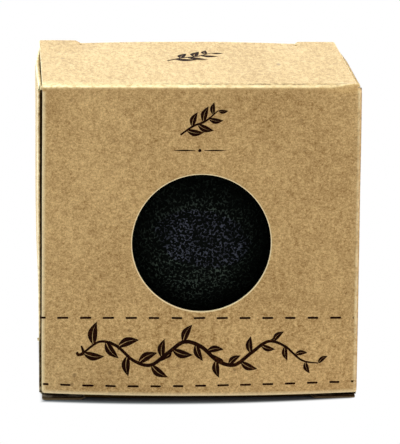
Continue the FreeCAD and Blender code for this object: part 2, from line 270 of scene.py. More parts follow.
@dataclass
class Outline:
    """Closed loops of points, and for each point whether the edge after it is raw.

    Points on rounded corners lie at most corner_step apart. Distances are measured a block of
    points at a time, and are nowhere where there is no edge to measure to.
    """

    loops: list[Points] = field(default_factory=list)
    raw: list[list[bool]] = field(default_factory=list)
    corner_step: float = 0.35
    nowhere: float = 1e3
    block: int = 2000

    def add_corners(self, corners: Sequence[Corner], step: float) -> None:
        """Adds a loop through rounded corners.

        Args:
            corners: the corners, in turn.
            step: about how far apart the points on the edges lie.
        """
        points: list[Points] = []
        raw: list[bool] = []
        spots = [np.array([c.across, c.up]) for c in corners]
        count = len(corners)
        for index, corner in enumerate(corners):
            spot, towards = spots[index], spots[(index + 1) % count]
            before, after = spots[index - 1] - spot, towards - spot
            before, after = before / np.linalg.norm(before), after / np.linalg.norm(after)
            half = math.acos(float(np.clip(before @ after, -1, 1))) / 2
            reach = corner.radius / math.tan(half)
            start = spot + after * reach
            if corner.radius > 0:
                bisector = (before + after) / np.linalg.norm(before + after)
                centre = spot + bisector * corner.radius / math.sin(half)
                arm_in, arm_out = spot + before * reach - centre, start - centre
                swing = math.pi - 2 * half
                pieces = max(3, round(corner.radius * swing / min(step, self.corner_step)))
                for share in (number / pieces for number in range(pieces)):
                    weights = (math.sin((1 - share) * swing), math.sin(share * swing))
                    points.append(centre + (arm_in * weights[0] + arm_out * weights[1]) / math.sin(swing))
                    raw.append(corner.raw or corners[index - 1].raw)
            gap = np.linalg.norm(towards - start)
            way = (towards - start) / gap
            next_radius = corners[(index + 1) % count].radius
            if next_radius > 0:
                other, back = spots[(index + 2) % count] - towards, spot - towards
                cosine = other @ back / np.linalg.norm(other) / np.linalg.norm(back)
                gap -= next_radius / math.tan(math.acos(float(np.clip(cosine, -1, 1))) / 2)
            pieces = max(1, round(gap / step))
            for number in range(pieces):
                points.append(start + way * gap * number / pieces)
                raw.append(corner.raw)
        self.loops.append(np.array(points))
        self.raw.append(raw)

    def add_circle(self, centre: Flat, radius: float, step: float, stretch: Flat) -> None:
        """Adds a round hole.

        Args:
            centre: its centre.
            radius: its radius before it is stretched.
            step: about how far apart its points lie.
            stretch: how far it is stretched across and up.
        """
        count = round(2 * math.pi * radius / step)
        angles = np.arange(count) * 2 * math.pi / count
        ring = np.stack([np.cos(angles), np.sin(angles)], 1)
        self.loops.append(ring * radius * np.array(stretch) + np.array(centre))
        self.raw.append([True] * count)

    def segments(self, raw_only: bool, holes: bool | None) -> tuple[Points, Points]:
        """The edges of the loops.

        Args:
            raw_only: whether to leave out the edges that run on into other board.
            holes: True for the holes alone, False for the outer loop alone.

        Returns:
            The starts and the ends of the edges.
        """
        pairs = [(loop[index], loop[(index + 1) % len(loop)])
                 for number, (loop, raw) in enumerate(zip(self.loops, self.raw))
                 if holes is None or holes == (number > 0)
                 for index in range(len(loop)) if raw[index] or not raw_only]
        spots = np.array(pairs).reshape(-1, 2, 2)
        return spots[:, 0], spots[:, 1]

    def distance(self, points: Points, raw_only: bool = False, holes: bool | None = None) -> Points:
        """How far each point is from the nearest edge.

        Args:
            points: flat points.
            raw_only: whether only the raw edges count.
            holes: which loops count, as in segments.

        Returns:
            The distances.
        """
        starts, ends = self.segments(raw_only, holes)
        if not len(starts):
            return np.full(len(points), self.nowhere)
        way = ends - starts
        square = (way * way).sum(1)
        result = np.empty(len(points))
        for begun in range(0, len(points), self.block):
            part = points[begun:begun + self.block, None, :]
            share = np.clip(((part - starts) * way).sum(2) / square, 0, 1)
            nearest = starts + share[..., None] * way
            result[begun:begun + self.block] = np.linalg.norm(part - nearest, axis=2).min(1)
        return result

    def holds(self, points: Points) -> Points:
        """Tests points against the loops.

        Args:
            points: flat points.

        Returns:
            Whether each is inside the first loop and outside the others.
        """
        inside = np.zeros(len(points), bool)
        x, y = points[:, 0][:, None], points[:, 1][:, None]
        for loop in self.loops:
            x1, y1 = loop[:, 0], loop[:, 1]
            x2, y2 = np.roll(x1, -1), np.roll(y1, -1)
            spans = (y1 > y) != (y2 > y)
            with np.errstate(divide="ignore", invalid="ignore"):
                crossing = x < (x2 - x1) * (y - y1) / (y2 - y1) + x1
            inside ^= (spans & crossing).sum(1) % 2 == 1
        return inside


@dataclass(frozen=True)
class FoldLine:
    """Where the flat outline is folded: across it (axis 0) or up it (axis 1), and how wide.

    A dark line is painted shade in a groove or gap instead of a worn fold; begins and full
    say from where on the other axis it shows.
    """

    axis: int
    place: float
    width: float
    dark: bool = False
    begins: float = -1e3
    full: float = -999.0
    width_after: float = 0.0
    share: float = 1.0

    def strength(self, flat: Points) -> Points:
        """How strongly the line shows.

        Args:
            flat: flat points.

        Returns:
            0 to the line's share for each point.
        """
        off = flat[:, self.axis] - self.place
        width = np.where(off > 0, self.width_after or self.width, self.width)
        other = smooth_step(flat[:, 1 - self.axis], self.begins, self.full)
        return self.share * np.exp(-(off / width) ** 2) * other


def paper_wave(places: Points) -> Points:
    """The slight cockle of the board.

    Args:
        places: points in space.

    Returns:
        How far the board stands out at each, in millimetres.
    """
    broad, fine = 19.0, 4.5
    broad_height, fine_height = 0.07, 0.012
    result = np.empty(len(places))
    for index, place in enumerate(places):
        spot = Vector(place)
        result[index] = broad_height * noise.noise(spot / broad) + fine_height * noise.noise(spot / fine)
    return result


@dataclass(frozen=True)
class Slack:
    """How far the folded carton is from square, in millimetres.

    The last fields say where each part of it fades: from the edge named in millimetres, or as
    shares of the carton's depth (along) and height (up).
    """

    left_belly: float = 0.45
    right_belly: float = 0.25
    back_belly: float = 0.3
    left_front: float = 0.3
    left_foot_in: float = 1.12
    foot_flare: float = 0.87
    back_pinch: float = 1.5
    left_back_in: float = 0.9
    right_back_in: float = 0.8
    head_left: float = 0.3
    foot_right: float = 0.37
    corner_back: float = 0.7
    side_fade: float = 7.0
    front_fade: Flat = (0.5, 6.0)
    floor_fade: float = 0.7
    corner_across: Flat = (12.0, 1.0)
    corner_up: Flat = (2.2, 0.2)
    corner_along: float = 3.0
    back_in_along: Flat = (0.55, 1.0)
    back_in_up: Flat = (0.35, 0.95)
    left_front_up: Flat = (0.0, 0.8)
    left_belly_up: Flat = (0.05, 0.72)
    foot_in_up: Flat = (0.1, 0.46)
    foot_in_along: Flat = (0.0, 0.6)

    def apply(self, places: Points, sides: bool = True) -> Points:
        """Moves places on the square carton to where the slack one has them.

        Args:
            places: places on the square carton.
            sides: whether they belong to board that follows the side panels.

        Returns:
            The moved places.
        """
        size = SIZES
        result = places.copy()
        across = np.clip((places[:, 0] - size.left) / (size.right - size.left), 0, 1)
        along = np.clip((places[:, 1] - size.front) / (size.back - size.front), 0, 1)
        high = np.clip(places[:, 2] / size.top, 0, 1)
        near_front = 1 - smooth_step(places[:, 1], *(size.front + gap for gap in self.front_fade))
        clear_of_floor = smooth_step(places[:, 2], self.floor_fade, size.foot)
        result[:, 0] += across * (self.foot_flare * (1 - high) - self.back_pinch * along * high)
        result[:, 2] += self.head_left * (1 - across) * high
        result[:, 2] -= self.foot_right * across * (1 - high) * near_front * clear_of_floor
        corner = smooth_step(places[:, 0], *(size.right - gap for gap in self.corner_across))
        corner = corner * smooth_step(places[:, 2], *(size.top - gap for gap in self.corner_up))
        at_face = 1 - smooth_step(places[:, 1], size.front, size.front + self.corner_along)
        result[:, 1] += self.corner_back * corner * at_face
        if sides:
            self.swell(places, result, across, along, high)
        return result

    def swell(self, places: Points, result: Points, across: Points, along: Points, high: Points) -> None:
        """Bends the side panels and the back panel in place.

        Args:
            places: places on the square carton.
            result: the places to move.
            across: their shares of the carton's width.
            along: their shares of its depth.
            high: their shares of its height.
        """
        size = SIZES
        near_left = 1 - smooth_step(places[:, 0], size.left, size.left + self.side_fade)
        near_right = smooth_step(places[:, 0], size.right - self.side_fade, size.right)
        near_back = smooth_step(places[:, 1], size.back - self.side_fade, size.back)
        belly = np.sin(math.pi * along)
        middle_up = np.sin(math.pi * high)
        behind = smooth_step(along, *self.back_in_along) * smooth_step(high, *self.back_in_up)
        at_foot = 1 - smooth_step(high, *self.left_front_up)
        out_left = self.left_belly * belly * smooth_step(high, *self.left_belly_up)
        out_left -= self.left_back_in * behind + self.left_front * at_foot * (1 - along)
        foot_in = self.left_foot_in * (1 - smooth_step(high, *self.foot_in_up))
        out_left -= foot_in * smooth_step(along, *self.foot_in_along)
        out_right = self.right_belly * belly * middle_up - self.right_back_in * behind
        result[:, 0] += out_right * near_right - out_left * near_left
        result[:, 1] += self.back_belly * np.sin(math.pi * across) * middle_up * near_back


SLACK = Slack()


@dataclass
class Board:
    """A panel or flap of board: a flat outline on a folded surface, with its thickness.

    The grid of points across and up keeps clear of the edges, and rings of points follow them.
    The rim, which the finish wears pale, is the distance to a raw edge times rim_scale, and to
    the edge of a hole beyond hole_rim times hole_scale.
    """

    name: str
    outline: Outline
    surface: Surface
    across: Points
    up: Points
    folds: tuple[FoldLine, ...] = ()
    clear: float = 0.55
    ring_steps: Flat = (0.13, 0.38)
    edge_drop: float = 0.05
    pinch: FoldLine | None = None
    pinch_share: float = 0.6
    sides: bool = True
    rim_scale: float = 1.0
    hole_rim: float = 0.13
    hole_scale: float = 2.8
    calm: float = 0.0
    floor_gap: float = 0.02

    def flat_points(self) -> tuple[Points, list[tuple[int, int]]]:
        """Lays out the flat points: the loops, rings beside them and a grid.

        Returns:
            The points to join, and the edges of the loops.
        """
        edges: list[tuple[int, int]] = []
        points = list(self.outline.loops)
        for loop in self.outline.loops:
            begun, count = len(edges), len(loop)
            edges += [(begun + i, begun + (i + 1) % count) for i in range(count)]
        for step in self.ring_steps:
            for loop in self.outline.loops:
                after = np.roll(loop, -1, 0) - loop
                before = loop - np.roll(loop, 1, 0)
                way = after / np.linalg.norm(after, axis=1)[:, None]
                way = way + before / np.linalg.norm(before, axis=1)[:, None]
                way /= np.maximum(np.linalg.norm(way, axis=1), 1e-6)[:, None]
                normal = np.stack([-way[:, 1], way[:, 0]], 1)
                for hand in (-1, 1):
                    ring = loop + normal * step * hand
                    points.append(self.keep(ring, 0.9 * step))
        grid = np.stack(np.meshgrid(self.across, self.up), -1).reshape(-1, 2)
        points.append(self.keep(grid, self.clear))
        return np.concatenate(points), edges

    def keep(self, points: Points, clear: float) -> Points:
        """Those of the points that are inside, and clear of every edge."""
        return points[self.outline.holds(points) & (self.outline.distance(points) > clear)]

    def build(self) -> Object:
        """Makes the mesh.

        Returns:
            The board as an object, with its distance to raw edges, its worn folds and its painted
            shade as attributes.
        """
        inside_with_holes, nearest = 4, 1e-5
        points, edges = self.flat_points()
        made = geometry.delaunay_2d_cdt([Vector(p) for p in points], edges, [], inside_with_holes, nearest)
        flat = np.array([tuple(v) for v in made[0]])
        triangles = np.array(made[2])
        triangles = triangles[self.outline.holds(flat[triangles].mean(1))].tolist()
        rim = self.outline.distance(flat, raw_only=True)
        places, normals = self.surface(flat[:, 0], flat[:, 1])
        places = places + normals * paper_wave(places)[:, None]
        places = SLACK.apply(places, self.sides)
        places[:, 2] = np.maximum(places[:, 2], self.floor_gap)
        drop = self.edge_drop * (1 - smooth_step(rim, 0.0, self.ring_steps[-1])) ** 1.5
        thick = SIZES.board - drop * 0.5
        if self.pinch:
            thick *= 1 - self.pinch_share * self.pinch.strength(flat)
        layers = [places - normals * depth[:, None] for depth in (drop, thick)]
        count = len(flat)
        sides = {(t[index - 1], t[index]) for t in triangles for index in range(3)}
        rims = [side for t in triangles for side in zip((t[2], t[0], t[1]), t) if side[::-1] not in sides]
        faces = [tuple(t) for t in triangles]
        faces += [tuple(v + count for v in reversed(t)) for t in triangles]
        faces += [(b, a, a + count, b + count) for a, b in rims]
        kinds = [Face.OUTSIDE.value] * len(triangles) + [Face.INSIDE.value] * len(triangles)
        kinds += [Face.CUT.value] * len(rims)
        marks = {"crease": np.zeros(count), "shade": np.zeros(count), "calm": np.full(count, self.calm)}
        for line in self.folds:
            # Dark lines go into the painted shade; the others are worn folds.
            label = "shade" if line.dark else "crease"
            marks[label] = np.maximum(marks[label], line.strength(flat))
        edge = self.outline.distance(flat, True, holes=False) * self.rim_scale
        hole = np.maximum(self.outline.distance(flat, True, holes=True) - self.hole_rim, 0.0)
        marks["rim"] = np.minimum(edge, hole * self.hole_scale)
        values = {label: np.tile(mark, 2) for label, mark in marks.items()}
        return board_object(self.name, np.concatenate(layers), faces, kinds, values)


def new_object(name: str, places: Sequence[Sequence[float]], edges: Sequence[tuple[int, int]],
               faces: Sequence[tuple[int, ...]]) -> Object:
    """Puts a new mesh object in the scene.

    Args:
        name: its name.
        places: its vertices.
        edges: its loose edges, as indices of the vertices.
        faces: its faces, as indices of the vertices.

    Returns:
        The object.
    """
    mesh = bpy.data.meshes.new(name)
    mesh.from_pydata(places, edges, faces)
    piece = bpy.data.objects.new(name, mesh)
    bpy.context.scene.collection.objects.link(piece)
    return piece


def turn_out(mesh: Mesh, soft: bool = False) -> None:
    """Turns the faces of a mesh outwards.

    Args:
        mesh: the closed mesh.
        soft: whether it shades smoothly, except where two materials meet.
    """
    tidy = bmesh.new()
    tidy.from_mesh(mesh)
    bmesh.ops.recalc_face_normals(tidy, faces=tidy.faces)
    if soft:
        for face in tidy.faces:
            face.smooth = True
        for edge in tidy.edges:
            edge.smooth = len({face.material_index for face in edge.link_faces}) < 2
    tidy.to_mesh(mesh)
    tidy.free()


def mark(mesh: Mesh, values: dict[str, Points]) -> None:
    """Gives a mesh its named values, one for each vertex."""
    for label, data in values.items():
        mesh.attributes.new(label, "FLOAT", "POINT").data.foreach_set("value", data.astype(np.float32))


def board_object(name: str, places: Points, faces: Sequence[tuple[int, ...]],
                 kinds: Sequence[int], values: dict[str, Points]) -> Object:
    """Writes a closed mesh with one material index per face.

    Args:
        name: the piece's name.
        places: the vertices, in millimetres.
        faces: the faces, as indices of the vertices.
        kinds: the material index of each face.
        values: a value per vertex for each named attribute.

    Returns:
        The new object, in the scene.
    """
    piece = new_object(name, (places * MM).tolist(), [], list(faces))
    piece.data.polygons.foreach_set("material_index", list(kinds))
    mark(piece.data, values)
    turn_out(piece.data, soft=True)
    return piece


def report(piece: Object) -> None:
    """Reports a finished piece."""
    log.info("%s: %d faces", piece.name, len(piece.data.polygons))


def spread(low: float, high: float, step: float) -> Points:
    """Evenly spaced values from low to high, about a step apart."""
    return np.linspace(low, high, max(2, round((high - low) / step) + 1))


def join_values(*parts: Points, least: float = 0.02) -> Points:
    """Several runs of values as one sorted run without near repeats."""
    values = np.sort(np.concatenate(parts))
    return values[np.concatenate([[True], np.diff(values) > least])]


# Finishes


@dataclass(frozen=True)
class KraftFinish:
    """One face of the kraft board, and the colour painted as shade into its grooves and gaps."""

    name: str
    deep: Colour
    pale: Colour
    worn: Colour
    fleck: Colour
    roughness: float
    grain: float
    wear: float
    relief: float
    # Painted shade: the colour that grooves, shaded gaps and occluded crevices are painted towards.
    bruise: Colour = (0.028, 0.012, 0.0015)
    # How much of the board's own colour is left under the painted shade where occlusion is deepest.
    cavity: float = 0.05
    fuzz: float = 0.08
    fuzz_roughness: float = 0.45
    shine: float = 0.3
    shading: float = 0.93
    shade_ragged: float = 4.5
    fleck_share: float = 0.55
    wear_reach: float = 0.5
    relief_strength: float = 0.55


@dataclass(frozen=True)
class InkFinish:
    """The print on the board."""

    name: str
    deep: Colour
    thin: Colour
    roughness: float
    grain: float = 1.2
    shine: float = 0.03
    relief: float = 0.00002


@dataclass(frozen=True)
class SpongeFinish:
    """The konjac sponge's open-pored black skin; its glint colours are painted highlights."""

    name: str
    pit: Colour
    skin: Colour
    glint: Colour
    green_glint: Colour
    roughness: float
    shine: float = 0.05
    relief: float = 0.00018


@dataclass(frozen=True)
class GlueFinish:
    """Dried glue in the seam."""

    name: str
    deep: Colour
    pale: Colour
    roughness: float
    relief: float = 0.00003


OUTSIDE_BOARD = KraftFinish(
    name="kraft_outside", deep=(0.247, 0.122, 0.027), pale=(0.742, 0.490, 0.215),
    worn=(0.96, 0.77, 0.46), fleck=(0.13, 0.06, 0.015), roughness=0.6, grain=0.97,
    wear=0.95, relief=0.00003)
INSIDE_BOARD = KraftFinish(
    name="kraft_inside", deep=(0.33, 0.22, 0.105), pale=(0.47, 0.335, 0.18),
    worn=(0.62, 0.49, 0.30), fleck=(0.15, 0.09, 0.04), roughness=0.8, grain=1.15,
    wear=0.3, relief=0.00004)
CUT_BOARD = KraftFinish(
    name="kraft_cut_edge", deep=(0.52, 0.38, 0.20), pale=(0.80, 0.64, 0.40),
    worn=(0.85, 0.72, 0.48), fleck=(0.30, 0.19, 0.09), roughness=0.85, grain=0.7,
    wear=0.0, relief=0.00003, shading=0.8)
PRINT_INK = InkFinish(
    name="print_ink", deep=(0.010, 0.002, 0.0005), thin=(0.055, 0.017, 0.004), roughness=0.6)
SPONGE_SKIN = SpongeFinish(
    name="konjac_skin", pit=(0.0003, 0.0006, 0.0004), skin=(0.0008, 0.0016, 0.0010),
    glint=(0.062, 0.067, 0.094), green_glint=(0.050, 0.068, 0.055), roughness=0.75)
SEAM_GLUE = GlueFinish(
    name="seam_glue", deep=(0.42, 0.31, 0.14), pale=(0.72, 0.62, 0.42), roughness=0.35)


@dataclass
class NodeKit:
    """A node tree being built, with short ways to add and join nodes."""

    tree: NodeTree

    @classmethod
    def group(cls, name: str, kind: str, given: dict[str, str | float],
              made: dict[str, str]) -> tuple["NodeKit", Sequence[NodeSocket], Sequence[NodeSocket]]:
        """Starts a node group.

        Args:
            name: its name.
            kind: its type of tree.
            given: for each input its default, or its type where it has none.
            made: for each output its type.
        """
        kit = cls(bpy.data.node_groups.new(name, kind))
        for way, sockets in (("INPUT", given), ("OUTPUT", made)):
            for label, value in sockets.items():
                bare = isinstance(value, str)
                sort = value if bare else type(value).__name__.title()
                socket = kit.tree.interface.new_socket(
                    name=label, in_out=way, socket_type=f"NodeSocket{sort}")
                if not bare:
                    socket.default_value = value
        return kit, kit.add("NodeGroupInput").outputs, kit.add("NodeGroupOutput").inputs

    def add(self, kind: str, values: dict[str | int, object] | None = None, **settings: object) -> Node:
        """Adds a node.

        Args:
            kind: its type.
            values: what goes into its inputs, as in fill.
            settings: its own properties.

        Returns:
            The node.
        """
        node = self.tree.nodes.new(kind)
        for name, value in settings.items():
            setattr(node, name, value)
        self.fill(node, values or {})
        return node

    def fill(self, node: Node, values: dict[str | int, object]) -> None:
        """Sets or joins a node's inputs.

        Args:
            node: the node.
            values: a value or a socket for each input, by name or number.
        """
        for name, value in values.items():
            if isinstance(value, NodeSocket):
                self.join(value, node.inputs[name])
            else:
                node.inputs[name].default_value = value

    def join(self, start: NodeSocket, end: NodeSocket) -> None:
        """Joins an output to an input."""
        self.tree.links.new(start, end)

    def math(self, operation: str, result: Value, *others: Value, clamp: bool = False) -> NodeSocket:
        """Math nodes over values and sockets, from left to right.

        Args:
            operation: the name of the operation.
            result: the first value.
            others: the other values.
            clamp: whether the result is kept from 0 to 1.

        Returns:
            The socket of the result.
        """
        for other in others or (0.0,):
            node = self.add("ShaderNodeMath", {0: result, 1: other}, operation=operation, use_clamp=clamp)
            result = node.outputs[0]
        return result

    def times(self, *values: Value) -> NodeSocket:
        """The product of values and sockets."""
        return self.math("MULTIPLY", *values)

    def plus(self, *values: Value) -> NodeSocket:
        """The sum of values and sockets."""
        return self.math("ADD", *values)

    def minus(self, *values: Value) -> NodeSocket:
        """The first value or socket less the others."""
        return self.math("SUBTRACT", *values)

    def ramp(self, value: NodeSocket, low: float, high: float,
             to_low: float = 0.0, to_high: float = 1.0) -> NodeSocket:
        """A smooth change of range."""
        values = {"Value": value, "From Min": low, "From Max": high, "To Min": to_low, "To Max": to_high}
        return self.add("ShaderNodeMapRange", values, interpolation_type="SMOOTHSTEP").outputs["Result"]

    def mix(self, share: Value, one: Colour | NodeSocket, two: Colour | NodeSocket) -> NodeSocket:
        """A mix of two colours."""
        values = {i: (*v, 1.0) if isinstance(v, tuple) else v for i, v in ((0, share), (6, one), (7, two))}
        return self.add("ShaderNodeMix", values, data_type="RGBA").outputs[2]

    def noise(self, vector: NodeSocket, scale: float, detail: float = 2.0,
              roughness: float = 0.5) -> NodeSocket:
        """A noise value at that scale per metre."""
        values = {"Vector": vector, "Scale": scale, "Detail": detail, "Roughness": roughness}
        return self.add("ShaderNodeTexNoise", values).outputs["Fac"]

    def bump(self, height: NodeSocket, strength: float, distance: float) -> NodeSocket:
        """The normal of a fine relief, its distance in metres."""
        values = {"Strength": strength, "Distance": distance, "Height": height}
        return self.add("ShaderNodeBump", values).outputs["Normal"]

    def marked(self, name: str) -> NodeSocket:
        """A value that the mesh carries."""
        return self.add("ShaderNodeAttribute", attribute_name=name).outputs["Fac"]

    def vector(self, x: Value = 0.0, y: Value = 0.0, z: Value = 0.0) -> NodeSocket:
        """A vector of values and sockets."""
        return self.add("ShaderNodeCombineXYZ", {"X": x, "Y": y, "Z": z}).outputs[0]

    def random(self, low: float, high: float, seed: NodeSocket) -> NodeSocket:
        """A random value for each element."""
        values = {2: low, 3: high, "Seed": seed}
        return self.add("FunctionNodeRandomValue", values, data_type="FLOAT").outputs[1]


def fibre_group() -> NodeTree:
    """The kraft board's fibre: its mottled tone, its dark flecks and its fine relief.

    Returns:
        The group.
    """
    kit, given, out = NodeKit.group(
        "kraft_fibre", "ShaderNodeTree", {"Vector": "Vector", "Grain": 1.0},
        {"Tone": "Float", "Fleck": "Float", "Height": "Float"})
    grain_way = kit.add("ShaderNodeMapping", {"Vector": given["Vector"], "Scale": (1.0, 0.42, 1.0)})
    place = grain_way.outputs["Vector"]
    skewed = kit.add("ShaderNodeMapping", {
        "Vector": place, "Scale": (0.6, 1.0, 1.0), "Rotation": (0.3, 0.9, 0.6)})
    blotch = kit.noise(place, 620.0, 3.0, 0.6)
    grain = kit.noise(place, 1650.0, 2.0, 0.6)
    fibre = kit.noise(skewed.outputs["Vector"], 1900.0, 3.0, 0.65)
    fine = kit.noise(place, 3400.0, 2.0, 0.6)
    cloud = kit.noise(place, 55.0, 3.0)
    weights = {0.85: blotch, 1.15: grain, 1.0: fibre, 1.35: fine, 0.6: cloud}
    layers = [kit.times(kit.minus(layer, 0.5), weight)
              for weight, layer in weights.items()]
    tone = kit.times(kit.plus(*layers), given["Grain"])
    kit.join(kit.math("ADD", tone, 0.5, clamp=True), out["Tone"])
    cells = kit.add("ShaderNodeTexVoronoi", {"Vector": place, "Scale": 420.0, "Randomness": 1.0})
    chosen = kit.ramp(cells.outputs["Color"], 0.80, 0.92)
    speck = kit.ramp(cells.outputs["Distance"], 0.30, 0.12)
    kit.join(kit.times(chosen, speck), out["Fleck"])
    kit.join(kit.plus(fibre, kit.times(grain, 0.7)), out["Height"])
    return kit.tree


def wear_group() -> NodeTree:
    """Paler board along raw edges and folds, broken up by the fibre.

    Returns:
        The group.
    """
    kit, given, out = NodeKit.group(
        "board_wear", "ShaderNodeTree", {"Vector": "Vector", "Rim": 2.0, "Crease": 0.0, "Reach": 0.4},
        {"Mask": "Float"})
    ragged = kit.noise(given["Vector"], 900.0, 3.0, 0.6)
    wide = kit.noise(given["Vector"], 130.0)
    away = kit.math("DIVIDE", given["Rim"], given["Reach"])
    edge = kit.math("SUBTRACT", 1.0, away, clamp=True)
    edge = kit.times(edge, kit.ramp(ragged, 0.2, 0.6, 0.7, 1.0))
    fold = kit.times(given["Crease"], kit.ramp(ragged, 0.3, 0.62, 0.25, 1.0),
                    kit.ramp(wide, 0.3, 0.65, 0.55, 1.0))
    kit.join(kit.math("MAXIMUM", edge, fold), out["Mask"])
    return kit.tree


@dataclass
class Palette:
    """Every material of the object, made once. Gap: how far, in metres, occlusion is painted as shade."""

    fibre: NodeTree = field(default_factory=fibre_group)
    wear: NodeTree = field(default_factory=wear_group)
    made: dict[str, Material] = field(default_factory=dict)
    gap: float = 0.004

    def start(self, name: str) -> tuple[NodeKit, Node, NodeSocket]:
        """Starts a material.

        Args:
            name: its name.

        Returns:
            Its node kit, its shader and its object coordinates.
        """
        material = self.made[name] = bpy.data.materials.new(name)
        material.use_nodes = True
        kit = NodeKit(material.node_tree)
        place = kit.add("ShaderNodeTexCoord").outputs["Object"]
        return kit, material.node_tree.nodes["Principled BSDF"], place

    def kraft(self, finish: KraftFinish) -> Material:
        """The board: mottled fibre, flecks, wear at its edges and folds, and painted shade.

        Args:
            finish: the face's finish.

        Returns:
            The material.
        """
        if finish.name in self.made:
            return self.made[finish.name]
        kit, shader, place = self.start(finish.name)
        fibre = kit.add("ShaderNodeGroup", {"Vector": place, "Grain": finish.grain}, node_tree=self.fibre)
        wear = kit.add("ShaderNodeGroup", {
            "Vector": place, "Reach": finish.wear_reach, "Rim": kit.marked("rim"),
            "Crease": kit.marked("crease")}, node_tree=self.wear)
        tone = kit.mix(kit.marked("calm"), fibre.outputs["Tone"], (0.5, 0.5, 0.5))
        colour = kit.mix(tone, finish.deep, finish.pale)
        colour = kit.mix(kit.times(fibre.outputs["Fleck"], finish.fleck_share), colour, finish.fleck)
        colour = kit.mix(kit.times(wear.outputs["Mask"], finish.wear), colour, finish.worn)
        # Painted shade: the dark fold lines darken the colour towards the shade colour, with ragged edges.
        shade = kit.marked("shade")
        ragged = kit.minus(kit.noise(place, 700.0, 3.0, 0.6), 0.5)
        loose = kit.times(shade, kit.minus(1.0, shade), ragged, finish.shade_ragged)
        shade = kit.ramp(kit.plus(shade, loose), 0.15, 0.85)
        # Painted shade: ambient occlusion darkens the colour in crevices and dims the specular and sheen
        # there.
        near = kit.add("ShaderNodeAmbientOcclusion", {"Distance": self.gap}, samples=6)
        clear_of_painted_shade = kit.ramp(near.outputs["AO"], 0.06, 0.60, finish.cavity, 1.0)
        colour = kit.mix(kit.times(shade, finish.shading), colour, finish.bruise)
        unshaded = kit.times(kit.minus(1.0, shade), clear_of_painted_shade)
        rough = finish.roughness
        kit.fill(shader, {
            "Base Color": kit.mix(clear_of_painted_shade, finish.bruise, colour),
            "Roughness": kit.ramp(fibre.outputs["Tone"], 0.1, 0.9, rough + 0.08, rough - 0.06),
            "Specular IOR Level": kit.times(unshaded, finish.shine),
            "Sheen Weight": kit.times(unshaded, finish.fuzz), "Sheen Roughness": finish.fuzz_roughness,
            "Normal": kit.bump(fibre.outputs["Height"], finish.relief_strength, finish.relief)})
        return self.made[finish.name]

    def ink(self, finish: InkFinish) -> Material:
        """Ink on board: nearly solid, a little starved where the fibre stands up.

        Args:
            finish: the ink's finish.

        Returns:
            The material.
        """
        if finish.name in self.made:
            return self.made[finish.name]
        kit, shader, place = self.start(finish.name)
        grained = {"Vector": place, "Grain": finish.grain}
        fibre = kit.add("ShaderNodeGroup", grained, node_tree=self.fibre).outputs
        starved = kit.ramp(fibre["Tone"], 0.6, 1.0)
        kit.fill(shader, {
            "Base Color": kit.mix(starved, finish.deep, finish.thin), "Specular IOR Level": finish.shine,
            "Roughness": kit.ramp(fibre["Tone"], 0.0, 1.0, finish.roughness, finish.roughness + 0.2),
            "Normal": kit.bump(fibre["Height"], 0.4, finish.relief)})
        return self.made[finish.name]

    def sponge(self, finish: SpongeFinish) -> Material:
        """The sponge: black pits, a dark skin between them and painted highlights on its ridges, dimmed
        away from the window as painted shade.

        Args:
            finish: the sponge's finish.

        Returns:
            The material.
        """
        kit, shader, place = self.start(finish.name)
        ridge, middle = kit.marked("ridge"), kit.marked("middle")
        swirl = kit.add("ShaderNodeTexNoise", {"Vector": place, "Scale": 900.0, "Detail": 2.0})
        bent = kit.add("ShaderNodeVectorMath", {0: swirl.outputs["Color"], "Scale": 0.0007},
                       operation="SCALE")
        moved = kit.add("ShaderNodeVectorMath", {0: place, 1: bent.outputs[0]}, operation="ADD")
        cells = kit.add("ShaderNodeTexVoronoi", {"Vector": moved.outputs[0], "Scale": 1000.0},
                        feature="DISTANCE_TO_EDGE")
        web = kit.ramp(cells.outputs["Distance"], 0.20, 0.03)
        grain = kit.noise(place, 1500.0, 2.0, 0.6)
        patch = kit.noise(place, 170.0, 3.0, 0.6)
        height = kit.plus(web, kit.times(grain, 0.8))
        tone = kit.times(web, kit.ramp(grain, 0.40, 0.60), kit.ramp(ridge, 0.0, 0.8, 0.4, 1.0))
        colour = kit.mix(kit.ramp(ridge, 0.0, 0.7), finish.pit, finish.skin)
        # Painted highlights on the ridges; middle dims them away from the window as painted shade.
        glint = kit.times(kit.ramp(tone, 0.26, 0.90), kit.ramp(patch, 0.35, 0.62, 0.4, 1.0),
                         kit.ramp(middle, 0.0, 1.0, 0.22, 1.0))
        uneven = kit.times(kit.minus(patch, 0.5), 1.2)
        core = kit.plus(kit.marked("core"), uneven)
        tint = kit.mix(kit.ramp(core, 0.35, 0.65), finish.green_glint, finish.glint)
        rough = finish.roughness
        kit.fill(shader, {
            "Base Color": kit.mix(glint, colour, tint), "Specular IOR Level": finish.shine,
            "Roughness": kit.ramp(tone, 0.0, 1.0, rough + 0.1, rough - 0.2),
            "Normal": kit.bump(height, 0.8, finish.relief)})
        return self.made[finish.name]

    def glue(self, finish: GlueFinish) -> Material:
        """Dried glue, cloudy and a little glossy.

        Args:
            finish: the glue's finish.

        Returns:
            The material.
        """
        kit, shader, place = self.start(finish.name)
        cloud = kit.noise(place, 420.0, 3.0, 0.6)
        kit.fill(shader, {
            "Base Color": kit.mix(kit.ramp(cloud, 0.3, 0.7), finish.deep, finish.pale),
            "Roughness": kit.ramp(cloud, 0.3, 0.7, finish.roughness, finish.roughness + 0.2),
            "Normal": kit.bump(cloud, 0.5, finish.relief)})
        return self.made[finish.name]

    def dress_board(self, piece: Object, node: str) -> None:
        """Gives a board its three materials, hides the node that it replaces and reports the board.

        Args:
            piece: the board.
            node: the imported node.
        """
        for finish in (OUTSIDE_BOARD, INSIDE_BOARD, CUT_BOARD):
            piece.data.materials.append(self.kraft(finish))
        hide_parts(node)
        report(piece)


# The sleeve


